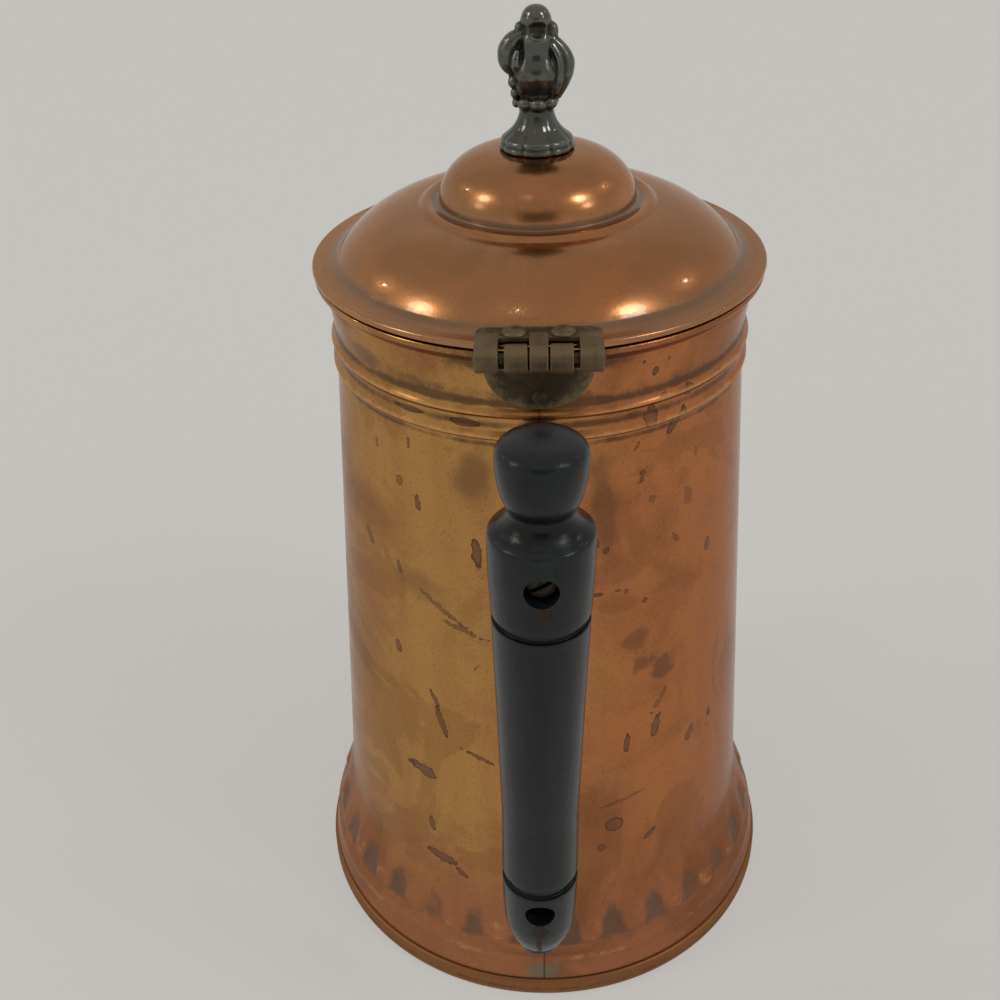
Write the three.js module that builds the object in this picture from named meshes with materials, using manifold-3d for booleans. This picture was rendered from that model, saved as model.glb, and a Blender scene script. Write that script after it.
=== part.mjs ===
// Copper coffee pot with a hinged lid, a gooseneck spout and a turned wooden side handle.
// Millimetres, +Z up. The origin is on the pot's axis, in the plane it stands on.
// The handle is on the -Y side and the spout on the +Y side. The lid hinge lies along X above the handle.
import * as THREE from "three";
import { mergeVertices } from "three/addons/utils/BufferGeometryUtils.js";
import Module from "manifold-3d";

const wasm = await Module();
wasm.setup();

// Sheet metal and fits
const sheet = 1.0;
const seatGap = 0.3;
const hingeGap = 0.35;

// Body, from the crimped rim up to the mouth
const skirtRadius = 71.3;
const rimOverhang = 1.1;
const rimHeight = 6.3;
const rimRounding = 0.9;
const panHeight = 2.4;
const upstandHeight = 2.4;
const upstandClearance = 0.8;
const skirtHeight = 5.6;
const footBeadHeight = 2.3;
const footBeadRise = 0.9;
const flareSpread = 8.1;
const flareSwellShare = 0.077;
const waistHeight = 34.8;
const fluteCount = 30;
const fluteDepth = 0.9;
const fluteLength = 15;
const wallTaper = 9.2;
const neckDrop = 25.3;
const beadWidth = 4.4;
const beadPitch = 6.0;
const beadRise = 0.75;
const collarCove = 0.8;
const collarInset = 0.3;
const collarSpread = 1.2;
const creaseDrop = 4.1;
const creaseDepth = 0.2;
const mouthFlare = 2.8;
const mouthHeight = 206.9;
const wallRelief = 0.2;

// Lid
const lidOverhang = 0.3;
const lidGap = 1.2;
const hemThickness = 1.3;
const flangeWidth = 6.7;
const flangeRise = 0.7;
const domeRise = 11.8;
const domeFullness = 2.17;
const domeShoulder = 0.88;
const ringRadius = 28.4;
const ringWidth = 3.2;
const ringRise = 1.7;
const crownInset = 3.6;
const crownStep = 0.9;
const crownRise = 12.3;
const collarRingDepth = 7.5;
const collarRingClearance = 1.0;

// Handle and its fixings
const handleStandoff = 50.6;
const barrelRadius = 11.55;
const handleBottom = 54.5;
const handleTopDrop = 0.5;
const upperScrewDrop = 4.8;
const lowerScrewShare = 0.1356;
const grooveDepth = 0.9;
const counterboreRadius = 3.7;
const counterboreDepth = 4.2;
const screwHeadRadius = 3.3;
const screwHeadHeight = 2.4;
const screwShankRadius = 1.9;
const screwSlotWidth = 0.9;
const screwSlotDepth = 0.9;
const screwSlotAngle = 30;
const screwBite = 11;
const screwBoreSpare = 2;
// Turning of the handle: share of the barrel's radius, share of the length, and 1 in a groove.
const handleTurning = [
  [0.38, 0, 0],
  [0.4, 0.013, 0],
  [0.53, 0.022, 0],
  [0.61, 0.04, 0],
  [0.78, 0.072, 0],
  [0.83, 0.17, 0],
  [0.83, 0.175, 1],
  [0.83, 0.195, 1],
  [0.83, 0.2, 0],
  [0.815, 0.318, 0],
  [0.875, 0.516, 0],
  [0.948, 0.71, 0],
  [0.948, 0.715, 1],
  [0.961, 0.727, 1],
  [0.961, 0.731, 0],
  [1, 0.806, 0],
  [0.974, 0.846, 0],
  [0.845, 0.864, 0],
  [0.675, 0.882, 0],
  [0.587, 0.894, 0],
  [0.681, 0.921, 0],
  [0.8, 0.941, 0],
  [0.818, 0.964, 0],
  [0.775, 0.982, 0],
  [0.628, 0.993, 0],
  [0, 1, 0],
];
const bracketArmRadius = 4.0;
const bracketBossRadius = 5.2;
const bracketBossLength = 14;
const bracketPadWidth = 15;
const bracketPadLength = 29;
const bracketPadThickness = 1.8;
const bracketRivetRadius = 1.5;
const bracketRivetHead = 2.6;
const bracketRivetSteps = [10.5, 18.5];

// Hinge
const hingeSetback = 3.6;
const knuckleRadius = 3.1;
const hingePinRadius = 1.15;
const pinHead = 0.5;
const hingeWidth = 28;
const endKnuckleWidth = 5.2;
const middleKnuckleWidth = 4.1;
const bodyKnuckleWidth = 5.1;
const leafThickness = 1.1;
const leafCorner = 2.5;
const lidLeafReach = 9.3;
const bodyLeafWidth = 25;
const bodyLeafDepth = 10.5;
const bodyLeafDrop = 2.6;
const hingeRivetSpacing = 10.8;
const lidRivetHead = 2.8;
const lidRivetShank = 1.3;
const bodyRivetHead = 1.7;
const bodyRivetShank = 1.1;
const rivetHeadFullness = 0.42;
const rivetTail = 0.5;

// Spout
const spoutStandoff = 50.6;
const spoutRootHeight = 66;
const spoutRootRadius = 16.5;
const spoutTipRadius = 6.4;
const spoutTipDrop = 15.9;
const spoutLeanAngle = 32;
const spoutTaperPower = 1.7;
const spoutTipTiltShare = 0.99;
// Bends of the spout: share of its reach and share of its rise.
const spoutBends = [
  [0.5, 0.2],
  [0.66, 0.46],
  [0.74, 0.74],
  [1, 1],
];
const spoutHoleRadius = 12.5;
const spoutCollarThickness = 1.4;
const strainerThickness = 0.8;
const spoutCollarWidth = 4;
const strainerHoleRadius = 1.6;
const strainerPitch = 7;

// Finial
const finialHeight = 33.2;
const finialFootRadius = 9.35;
const finialLobes = 8;
const finialScrewRadius = 1.6;
const finialScrewLength = 9;
const finialScrewHeadRadius = 3.6;
const finialScrewHeadHeight = 2;
const finialWasherRadius = 7;
const finialWasherThickness = 1;
const finialScrollWidth = 5;
const finialScrollThickness = 3.2;
const finialBerryRadius = 1.5;
const finialBeadRingShare = 0.46;
const finialBeadHeightShare = 0.35;
const finialShieldFlatShare = 0.8;
// Shapes of the finial in shares of its foot radius and of its height. The third share is the lobe depth.
const finialFootRings = [
  [1, 0, 0.065],
  [0.99, 0.072, 0.065],
  [0.77, 0.127, 0.055],
  [0.52, 0.2, 0.03],
  [0.42, 0.33, 0],
];
const finialShield = [
  [0, 0.3],
  [0.385, 0.316],
  [0.47, 0.42],
  [0.57, 0.57],
  [0.6, 0.69],
  [0.525, 0.8],
  [0.365, 0.873],
  [0, 0.904],
];
const finialBud = [
  [0, 0.783],
  [0.33, 0.795],
  [0.415, 0.86],
  [0.405, 0.934],
  [0.28, 0.98],
  [0, 1],
];
const finialScrolls = [
  [[-0.28, 0.77], [-0.58, 0.765], [-0.74, 0.675], [-0.69, 0.566], [-0.47, 0.536]],
  [[0.28, 0.783], [0.58, 0.723], [0.75, 0.62], [0.65, 0.482], [0.36, 0.367]],
];
const finialBerries = [
  [-0.49, 0, 0.837],
  [0.5, 0, 0.82],
  [-0.55, -0.06, 0.446],
];

// Facets around the round pieces
const bodySides = 2 * fluteCount;
const fluteSides = 4 * fluteCount;
const rimSides = 36;
const lidSides = 32;
const handleSides = 16;
const spoutSides = 16;
const smallSides = 12;
const rivetSides = 8;

// Radii and heights that follow from the sizes above
const footRadius = skirtRadius + rimOverhang;
const waistRadius = skirtRadius - flareSpread;
const neckRadius = waistRadius - wallTaper;
const neckHeight = mouthHeight - neckDrop;
const collarFootRadius = neckRadius - collarInset;
const collarRadius = collarFootRadius + collarSpread;
const creaseHeight = mouthHeight - creaseDrop;
const mouthRadius = collarRadius + mouthFlare;
const lidRadius = mouthRadius + lidOverhang;
const flangeRadius = lidRadius - flangeWidth;
const crownRadius = ringRadius - crownInset;
const lidSeat = mouthHeight + lidGap;
const hingeAxisReach = lidRadius + hingeSetback;
const hingeAxisHeight = lidSeat;
const handleAxis = neckRadius + handleStandoff - barrelRadius;
const handleTop = mouthHeight - handleTopDrop;
const upperScrewHeight = neckHeight - upperScrewDrop;
const lowerScrewHeight = THREE.MathUtils.lerp(handleBottom, handleTop, lowerScrewShare);
const spoutReach = neckRadius + spoutStandoff;
const spoutTipHeight = mouthHeight - spoutTipDrop;
const up = new THREE.Vector3(0, 0, 1);

const copper = new THREE.MeshStandardMaterial({ color: 0xa8683a, roughness: 0.35, metalness: 0.9 });
const tinned = new THREE.MeshStandardMaterial({ color: 0x9a9a94, roughness: 0.45, metalness: 0.85 });
const brass = new THREE.MeshStandardMaterial({ color: 0x5a5240, roughness: 0.55, metalness: 0.7 });
const pewter = new THREE.MeshStandardMaterial({ color: 0x55565a, roughness: 0.4, metalness: 0.7 });
const iron = new THREE.MeshStandardMaterial({ color: 0x4a4038, roughness: 0.6, metalness: 0.6 });
const blackWood = new THREE.MeshStandardMaterial({ color: 0x23282b, roughness: 0.45, metalness: 0.0 });

// A closed mesh as a solid that can be joined and cut.
function solid(geometry) {
  const bare = geometry.clone();
  bare.deleteAttribute("normal");
  bare.deleteAttribute("uv");
  const merged = mergeVertices(bare, 1e-4);
  const index = merged.index.array;
  const kept = [];
  for (let i = 0; i < index.length; i += 3) {
    const [a, b, c] = [index[i], index[i + 1], index[i + 2]];
    if (a !== b && b !== c && a !== c) kept.push(a, b, c);
  }
  return new wasm.Manifold(
    new wasm.Mesh({
      numProp: 3,
      vertProperties: merged.attributes.position.array,
      triVerts: new Uint32Array(kept),
    }),
  );
}

function join(...solids) {
  return solids.reduce((sum, next) => sum.add(next));
}

function cut(body, ...tools) {
  return tools.reduce((rest, tool) => rest.subtract(tool), body);
}

// A named mesh made from a solid.
function piece(name, body, material) {
  const made = body.getMesh();
  const geometry = new THREE.BufferGeometry();
  geometry.setAttribute("position", new THREE.BufferAttribute(new Float32Array(made.vertProperties), 3));
  geometry.setIndex(new THREE.BufferAttribute(new Uint32Array(made.triVerts), 1));
  const flat = geometry.toNonIndexed();
  flat.computeVertexNormals();
  const mesh = new THREE.Mesh(flat, material);
  mesh.name = name;
  return mesh;
}

// Revolves a profile of [radius, height] about Z. It runs counterclockwise: up the outside, down the inside.
function revolve(profile, sides) {
  const points = profile.map(([radius, height]) => new THREE.Vector2(radius, height));
  return new THREE.LatheGeometry(points, sides).rotateX(Math.PI / 2);
}

// A turned solid on an axis that starts at a point and runs along a direction.
function turned(profile, sides, start, direction) {
  const geometry = revolve(profile, sides);
  const turn = new THREE.Quaternion().setFromUnitVectors(up, direction.clone().normalize());
  return solid(geometry.applyQuaternion(turn).translate(start.x, start.y, start.z));
}

function rod(radius, start, end, sides = smallSides) {
  const along = end.clone().sub(start);
  const length = along.length();
  const profile = [[0, 0], [radius, 0], [radius, length], [0, length]];
  return turned(profile, sides, start, along);
}

// Extrudes an outline drawn in the XZ plane along Y, between two values of y.
function extrudeAlongY(shape, fromY, toY, curveSegments = 8) {
  const options = { depth: toY - fromY, bevelEnabled: false, curveSegments };
  const geometry = new THREE.ExtrudeGeometry(shape, options);
  return solid(geometry.rotateX(Math.PI / 2).translate(0, toY, 0));
}

// Extrudes an outline drawn in the YZ plane along X, between two values of x.
function extrudeAlongX(shape, fromX, toX, curveSegments = 8) {
  const options = { depth: toX - fromX, bevelEnabled: false, curveSegments };
  const geometry = new THREE.ExtrudeGeometry(shape, options);
  const axes = new THREE.Matrix4().makeBasis(
    new THREE.Vector3(0, 1, 0),
    new THREE.Vector3(0, 0, 1),
    new THREE.Vector3(1, 0, 0),
  );
  return solid(geometry.applyMatrix4(axes).translate(fromX, 0, 0));
}

// Joins a loop of rings into one closed skin. A ring may have a whole multiple of its neighbour's points.
function skin(rings) {
  const positions = [];
  const starts = rings.map((ring) => {
    const start = positions.length / 3;
    ring.forEach((p) => positions.push(p.x, p.y, p.z));
    return start;
  });
  const index = [];
  rings.forEach((lower, k) => {
    const next = (k + 1) % rings.length;
    const upper = rings[next];
    const [a, b] = [starts[k], starts[next]];
    const most = Math.max(lower.length, upper.length);
    const [lowStep, highStep] = [most / lower.length, most / upper.length];
    for (let i = 0; i < most; i += 1) {
      const low = a + Math.floor(i / lowStep);
      const high = b + Math.floor(i / highStep);
      const lowNext = a + (Math.floor((i + 1) / lowStep) % lower.length);
      const highNext = b + (Math.floor((i + 1) / highStep) % upper.length);
      if (lowNext !== low) index.push(low, lowNext, high);
      if (highNext !== high) index.push(lowNext, highNext, high);
    }
  });
  const geometry = new THREE.BufferGeometry();
  geometry.setAttribute("position", new THREE.BufferAttribute(new Float32Array(positions), 3));
  geometry.setIndex(index);
  return geometry;
}

// One level ring about Z. The radius may change with the angle, which is measured from -Y.
function levelRing(height, sides, radiusAt, start = 0) {
  return Array.from({ length: sides }, (_, i) => {
    const angle = start + (i / sides) * 2 * Math.PI;
    const radius = radiusAt(angle);
    return new THREE.Vector3(radius * Math.sin(angle), -radius * Math.cos(angle), height);
  });
}

// Radius of the plain wall between the waist and the neck, and of the flare below the waist.
function wallRadius(height) {
  return THREE.MathUtils.mapLinear(height, waistHeight, neckHeight, waistRadius, neckRadius);
}

const skirtTop = rimHeight + seatGap + skirtHeight;

function flareRadius(height) {
  const s = (waistHeight - height) / (waistHeight - skirtTop);
  return waistRadius + (skirtRadius - sheet - waistRadius) * (s + flareSwellShare * 4 * s * (1 - s));
}

// Swelling of one flute at a height: none at the cove, most near the rounded end, fading upwards.
function fluteSwell(height) {
  const t = (height - (waistHeight - fluteLength)) / fluteLength;
  if (t <= 0 || t >= 1) return 0;
  return fluteDepth * Math.sin(Math.PI * Math.pow(t, 0.6));
}

// Points of a low bead on a wall.
function bead(centre, radius, width, rise) {
  return [
    [radius, centre - width / 2],
    [radius + rise, centre - width / 8],
    [radius + rise, centre + width / 8],
    [radius, centre + width / 2],
  ];
}

const lowerBead = neckHeight + beadWidth / 2;
const upperBead = lowerBead + beadPitch;
const collarFoot = upperBead + beadWidth / 2 + collarCove;
const collarTop = creaseHeight - collarCove;

// Outer radius of the collar, which widens from the beads up to the crease under the mouth.
function collarOuter(height) {
  const s = THREE.MathUtils.clamp((height - collarFoot) / (collarTop - collarFoot), 0, 1);
  return THREE.MathUtils.lerp(collarFootRadius, collarRadius, s);
}

// Body: one sheet, as rings up the outside and down the inside.
function bodyShell() {
  const start = Math.PI / fluteSides;
  const plain = ([radius, height]) => levelRing(height, bodySides, () => radius, start);
  const fluted = (height) => {
    const swell = Math.SQRT1_2 * fluteSwell(height);
    const radiusAt = (angle) => flareRadius(height) + swell * Math.cos(angle * fluteCount);
    return levelRing(height, fluteSides, radiusAt, start);
  };
  const skirtFoot = rimHeight + seatGap;
  const footBead = skirtTop + footBeadHeight;
  const fluteFoot = waistHeight - fluteLength;
  const cove = (footBead + 2 * fluteFoot) / 3;
  const skirt = [
    [skirtRadius, skirtFoot],
    [skirtRadius - footBeadRise, skirtTop],
    [flareRadius(footBead) + footBeadRise / 2, footBead],
    [flareRadius(cove) - footBeadRise / 2, cove],
    [flareRadius(fluteFoot), fluteFoot],
  ];
  const flutes = [0.16, 0.45, 0.78].map((t) => fluteFoot + t * fluteLength);
  const upper = [
    [waistRadius, waistHeight],
    ...bead(lowerBead, neckRadius, beadWidth, beadRise),
    ...bead(upperBead, neckRadius, beadWidth, beadRise),
    [collarFootRadius, collarFoot],
    [collarRadius, collarTop],
    [collarRadius - creaseDepth, creaseHeight],
    [mouthRadius - creaseDepth, mouthHeight - 1.5 * sheet],
    [mouthRadius, mouthHeight - sheet],
    [mouthRadius, mouthHeight - sheet / 3],
    [mouthRadius - sheet / 3, mouthHeight],
    [mouthRadius - sheet, mouthHeight],
  ];
  const fluteInside = fluteFoot + fluteLength / 3;
  const inner = [
    [collarRadius - sheet, creaseHeight],
    [collarRadius - sheet - creaseDepth, collarTop - sheet],
    [neckRadius - sheet, lowerBead + beadWidth / 2],
    [waistRadius - sheet - wallRelief, waistHeight],
    [flareRadius(fluteInside) - sheet - fluteDepth / 2, fluteInside],
    [skirtRadius - sheet - footBeadRise, skirtTop],
    [skirtRadius - sheet, skirtFoot],
  ];
  const rings = [...skirt.map(plain), ...flutes.map(fluted), ...upper.map(plain), ...inner.map(plain)];
  return solid(skin(rings));
}

// Ring-shaped blank that follows the body's outside, or its inside with negative offsets.
function wallSleeve(low, high, offset, thickness) {
  const [near, far] = [offset, offset + thickness];
  const profile = [
    [wallRadius(low) + near, low],
    [wallRadius(low) + far, low],
    [wallRadius(high) + far, high],
    [wallRadius(high) + near, high],
    [wallRadius(low) + near, low],
  ];
  return solid(revolve(profile, bodySides));
}

// Solid core of the body's outside grown by a gap, for cutting what is soldered or riveted to the wall.
function wallCore(low, high, gap) {
  const profile = [
    [0, low],
    [wallRadius(low) + gap, low],
    [wallRadius(high) + gap, high],
    [0, high],
  ];
  return solid(revolve(profile, bodySides));
}

// Bottom plate with an upturned wall inside the skirt and a crimped rim under it.
function bottomPlate() {
  const wallOuter = skirtRadius - sheet - upstandClearance;
  const profile = [
    [0, panHeight],
    [wallOuter - 2 * sheet - panHeight / 2, panHeight],
    [wallOuter - sheet - seatGap, 0],
    [footRadius - rimRounding, 0],
    [footRadius, rimRounding],
    [footRadius, rimHeight - rimRounding],
    [footRadius - rimRounding, rimHeight],
    [wallOuter, rimHeight],
    [wallOuter, rimHeight + upstandHeight],
    [wallOuter - sheet, rimHeight + upstandHeight],
    [wallOuter - sheet, panHeight + sheet],
    [0, panHeight + sheet],
  ];
  return solid(revolve(profile, rimSides));
}

const lidUnder = lidSeat + 0.2;
const flangeTop = lidSeat + hemThickness;
const domeFoot = flangeTop + flangeRise;
const domeTop = domeFoot + domeRise;
const crownFoot = domeTop + crownStep;
const crownTop = crownFoot + crownRise;

// Height of the lid's wide dome over a radius: level near the ring and steep at the flange.
function domeHeight(radius) {
  const s = THREE.MathUtils.clamp((radius - ringRadius) / (flangeRadius - ringRadius), 0, 1);
  return domeFoot + domeRise * Math.pow(1 - Math.pow(s, domeFullness), domeShoulder);
}

// Lid: one spun sheet, hemmed at the rim.
function lidShell() {
  const ringHalf = ringWidth / 2;
  const screwHole = finialScrewRadius + seatGap;
  const crown = (offset, steps) =>
    Array.from({ length: steps + 1 }, (_, i) => {
      const angle = (i / steps) * (Math.PI / 2);
      const radius = finialFootRadius + (crownRadius - offset - finialFootRadius) * Math.cos(angle);
      return [radius, crownFoot - offset + crownRise * Math.sin(angle)];
    });
  const dome = (shares, offset) =>
    shares
      .map((share) => THREE.MathUtils.lerp(ringRadius, flangeRadius, share))
      .map((radius) => [radius - offset / 2, domeHeight(radius) - offset]);
  const rounding = hemThickness / 3;
  const outside = [
    [lidRadius - rounding, lidSeat],
    [lidRadius, lidSeat + rounding],
    [lidRadius, flangeTop - rounding],
    [lidRadius - rounding, flangeTop],
    [flangeRadius, domeFoot],
    ...dome([0.95, 0.8, 0.5, ringHalf / (flangeRadius - ringRadius)], 0),
    [ringRadius + 0.4 * ringHalf, domeTop + ringRise],
    [ringRadius - 0.4 * ringHalf, domeTop + ringRise],
    [ringRadius - ringHalf, crownFoot],
    ...crown(0, 4),
    [screwHole, crownTop],
  ];
  const inside = [
    [screwHole, crownTop - sheet],
    ...crown(sheet, 2).reverse(),
    ...dome([0.3, 0.8], sheet),
    [flangeRadius - sheet, domeFoot - sheet],
    [lidRadius - 3 * sheet, lidUnder],
  ];
  return solid(revolve([...outside, ...inside, outside[0]], lidSides));
}

// Ring under the lid that drops into the mouth.
function lidInnerCollar() {
  const outer = collarRadius - sheet - collarRingClearance;
  const top = lidUnder - seatGap;
  const profile = [
    [outer, top - collarRingDepth],
    [outer, top],
    [outer - sheet, top],
    [outer - sheet, top - collarRingDepth],
    [outer, top - collarRingDepth],
  ];
  return solid(revolve(profile, lidSides));
}

// Handle profile as [radius, height], from the stub at the bottom to the domed knob.
function handleProfile(grow = 0) {
  const points = handleTurning.map(([radiusShare, heightShare, cutDepth]) => [
    radiusShare * barrelRadius - cutDepth * grooveDepth + (radiusShare ? grow : 0),
    THREE.MathUtils.lerp(handleBottom, handleTop, heightShare),
  ]);
  return [[0, handleBottom], ...points];
}

// Widest radius of the handle near a height, read from its own profile.
function handleRadiusAt(height) {
  const points = handleProfile();
  const above = points.findIndex(([, z]) => z > height);
  const [low, high] = [points[above - 1], points[above]];
  return THREE.MathUtils.mapLinear(height, low[1], high[1], low[0], high[0]);
}

function handleSolid() {
  const centre = new THREE.Vector3(0, -handleAxis, 0);
  const body = turned(handleProfile(), handleSides, centre, up);
  const holes = [upperScrewHeight, lowerScrewHeight].flatMap((height) => {
    const face = -handleAxis - handleRadiusAt(height);
    const outside = new THREE.Vector3(0, face - counterboreDepth, height);
    return [
      rod(counterboreRadius, outside, new THREE.Vector3(0, face + counterboreDepth, height)),
      rod(screwShankRadius + seatGap, outside, new THREE.Vector3(0, -handleAxis + 2 * barrelRadius, height)),
    ];
  });
  return cut(body, ...holes);
}

// Place along Y of a screw's tip: as far into the bracket arm as the screw bites.
function screwTip(height) {
  return -handleAxis + handleRadiusAt(height) + screwBite;
}

// Slotted screw with its head in the counterbore and its shank in the bracket arm.
function handleScrew(height) {
  const seat = -handleAxis - handleRadiusAt(height) + counterboreDepth - seatGap;
  const screwLength = screwTip(height) - seat;
  const start = new THREE.Vector3(0, seat, height);
  const edge = screwHeadHeight / 4;
  const profile = [
    [0, -screwHeadHeight],
    [screwHeadRadius - edge, -screwHeadHeight],
    [screwHeadRadius, -screwHeadHeight + edge],
    [screwHeadRadius, 0],
    [screwShankRadius, 0],
    [screwShankRadius, screwLength - screwShankRadius],
    [screwShankRadius / 2, screwLength],
    [0, screwLength],
  ];
  const blank = turned(profile, smallSides, start, new THREE.Vector3(0, 1, 0));
  const slot = new THREE.BoxGeometry(3 * screwHeadRadius, 2 * screwSlotDepth, screwSlotWidth);
  slot.rotateY(THREE.MathUtils.degToRad(-screwSlotAngle)).translate(0, seat - screwHeadHeight, height);
  return cut(blank, solid(slot));
}

// Cast arm from a riveted pad on the body to the handle. The pad runs up or down from the arm.
function handleBracket(height, side) {
  const wall = wallRadius(height);
  const root = new THREE.Vector3(0, -wall + bracketArmRadius, height);
  const reach = handleAxis - wall + bracketArmRadius;
  const bossStart = reach - bracketBossLength;
  const profile = [
    [0, 0],
    [bracketBossRadius, 0],
    [bracketBossRadius, 2 * bracketArmRadius],
    [bracketArmRadius, 3 * bracketArmRadius],
    [bracketArmRadius, bossStart - (bracketBossRadius - bracketArmRadius)],
    [bracketBossRadius, bossStart],
    [bracketBossRadius, reach],
    [0, reach],
  ];
  const arm = turned(profile, smallSides, root, new THREE.Vector3(0, -1, 0));
  const half = bracketPadWidth / 2;
  const near = height - side * bracketBossRadius;
  const far = near + side * bracketPadLength;
  const turn = side * (bracketPadLength / 6);
  const outline = new THREE.Shape();
  outline.moveTo(-half / 2, near);
  outline.lineTo(half / 2, near);
  outline.quadraticCurveTo(half, near, half, near + turn);
  outline.quadraticCurveTo(half, far - 2 * turn, 0, far);
  outline.quadraticCurveTo(-half, far - 2 * turn, -half, near + turn);
  outline.quadraticCurveTo(-half, near, -half / 2, near);
  const [low, high] = [Math.min(near, far) - bracketPadThickness, Math.max(near, far) + bracketPadThickness];
  const blank = extrudeAlongY(outline, -wall - bracketPadWidth, -wall + bracketPadWidth, 5);
  const pad = blank.intersect(wallSleeve(low, high, seatGap, bracketPadThickness));
  const centre = new THREE.Vector3(0, -handleAxis, 0);
  const handleRoom = turned(handleProfile(seatGap), handleSides, centre, up);
  const bore = rod(
    screwShankRadius + seatGap,
    new THREE.Vector3(0, -handleAxis, height),
    new THREE.Vector3(0, screwTip(height) + screwBoreSpare, height),
  );
  const trimmedArm = cut(arm, wallCore(low - bracketPadWidth, high + bracketPadWidth, seatGap));
  return cut(join(trimmedArm, pad), handleRoom, bore, ...bracketRivetHoles(height, side));
}

function bracketRivetHoles(height, side) {
  return bracketRivetSteps.map((step) => {
    const z = height + side * step;
    return holeNearWall(bracketRivetRadius + seatGap, wallRadius(z), z);
  });
}

// Drill for a hole through what lies on the handle side at a radius and height.
function holeNearWall(radius, wall, height) {
  const reach = 3 * sheet + 2 * bracketPadThickness;
  const centre = new THREE.Vector3(0, -wall, height);
  const step = new THREE.Vector3(0, reach, 0);
  return rod(radius, centre.clone().sub(step), centre.clone().add(step));
}

// Rivet along an axis: round head outside, flat tail inside, with the grip between them.
function rivet(seat, direction, headRadius, shankRadius, grip, tailHeight) {
  const headHeight = headRadius * rivetHeadFullness;
  const tailRadius = shankRadius + 3 * seatGap;
  const profile = [
    [0, -tailHeight],
    [tailRadius, -tailHeight],
    [tailRadius, 0],
    [shankRadius, 0],
    [shankRadius, grip],
    [headRadius, grip],
    [headRadius * 0.75, grip + headHeight * 0.7],
    [headRadius * 0.3, grip + headHeight],
    [0, grip + headHeight],
  ];
  return turned(profile, rivetSides, seat, direction);
}

function bracketRivet(height, side, step) {
  const z = height + side * step;
  const inside = new THREE.Vector3(0, -(wallRadius(z) - sheet - 2 * seatGap), z);
  const grip = bracketPadThickness + sheet + 4 * seatGap;
  return rivet(inside, new THREE.Vector3(0, -1, 0), bracketRivetHead, bracketRivetRadius, grip, sheet);
}

// Knuckle layout along X, from left to right: lid, body, lid, body, lid.
function knuckleSpans() {
  const half = hingeWidth / 2;
  const middle = middleKnuckleWidth / 2;
  const bodyStart = middle + hingeGap;
  return {
    lid: [[-half, -half + endKnuckleWidth], [-middle, middle], [half - endKnuckleWidth, half]],
    body: [[-bodyStart - bodyKnuckleWidth, -bodyStart], [bodyStart, bodyStart + bodyKnuckleWidth]],
  };
}

// Outline of one knuckle in the YZ plane, with its bore.
function knuckleOutline() {
  const shape = new THREE.Shape();
  shape.absarc(-hingeAxisReach, hingeAxisHeight, knuckleRadius, 0, 2 * Math.PI, false);
  const bore = new THREE.Path();
  bore.absarc(-hingeAxisReach, hingeAxisHeight, hingePinRadius + hingeGap, 0, 2 * Math.PI, true);
  shape.holes.push(bore);
  return shape;
}

const lidLeafTop = hingeAxisHeight + knuckleRadius;
const lidLeafEdge = -hingeAxisReach + lidLeafReach;

// Lid leaf: a plate over the flange with three knuckles rolled from its edge.
function hingeLidLeaf() {
  const half = hingeWidth / 2;
  const corner = leafCorner;
  const outline = new THREE.Shape();
  outline.moveTo(-half, -hingeAxisReach);
  outline.lineTo(half, -hingeAxisReach);
  outline.lineTo(half, lidLeafEdge - corner);
  outline.quadraticCurveTo(half, lidLeafEdge, half - corner, lidLeafEdge);
  outline.lineTo(-half + corner, lidLeafEdge);
  outline.quadraticCurveTo(-half, lidLeafEdge, -half, lidLeafEdge - corner);
  const options = { depth: leafThickness, bevelEnabled: false, curveSegments: 3 };
  const sheetBlank = new THREE.ExtrudeGeometry(outline, options);
  const plate = solid(sheetBlank.translate(0, 0, lidLeafTop - leafThickness));
  const spans = knuckleSpans();
  const knuckles = spans.lid.map(([from, to]) => extrudeAlongX(knuckleOutline(), from, to, 6));
  const clear = 2 * (knuckleRadius + 2 * hingeGap);
  const room = spans.body.map(([from, to]) => {
    const slot = new THREE.BoxGeometry(to - from + 2 * hingeGap, clear, 2 * clear);
    return solid(slot.translate((from + to) / 2, -hingeAxisReach, hingeAxisHeight));
  });
  return cut(join(plate, ...knuckles), ...room, ...lidRivetHoles());
}

// Drills for the two rivets through the lid and its leaf.
function lidRivetHoles() {
  const [low, high] = [lidSeat - knuckleRadius, lidLeafTop + knuckleRadius];
  return lidRivetPlaces().map((place) =>
    rod(lidRivetShank + seatGap, place.clone().setZ(low), place.clone().setZ(high)),
  );
}

function lidRivetPlaces() {
  const y = lidLeafEdge - lidRivetHead - seatGap;
  return [-hingeRivetSpacing / 2, hingeRivetSpacing / 2].map((x) => new THREE.Vector3(x, y, 0));
}

function lidRivet(place) {
  const tailTop = lidSeat - 0.5 * seatGap;
  const grip = lidLeafTop + 0.5 * seatGap - tailTop;
  return rivet(place.clone().setZ(tailTop), up, lidRivetHead, lidRivetShank, grip, rivetTail);
}

const bodyLeafBend = hingeAxisHeight - knuckleRadius - bodyLeafDrop;

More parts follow.
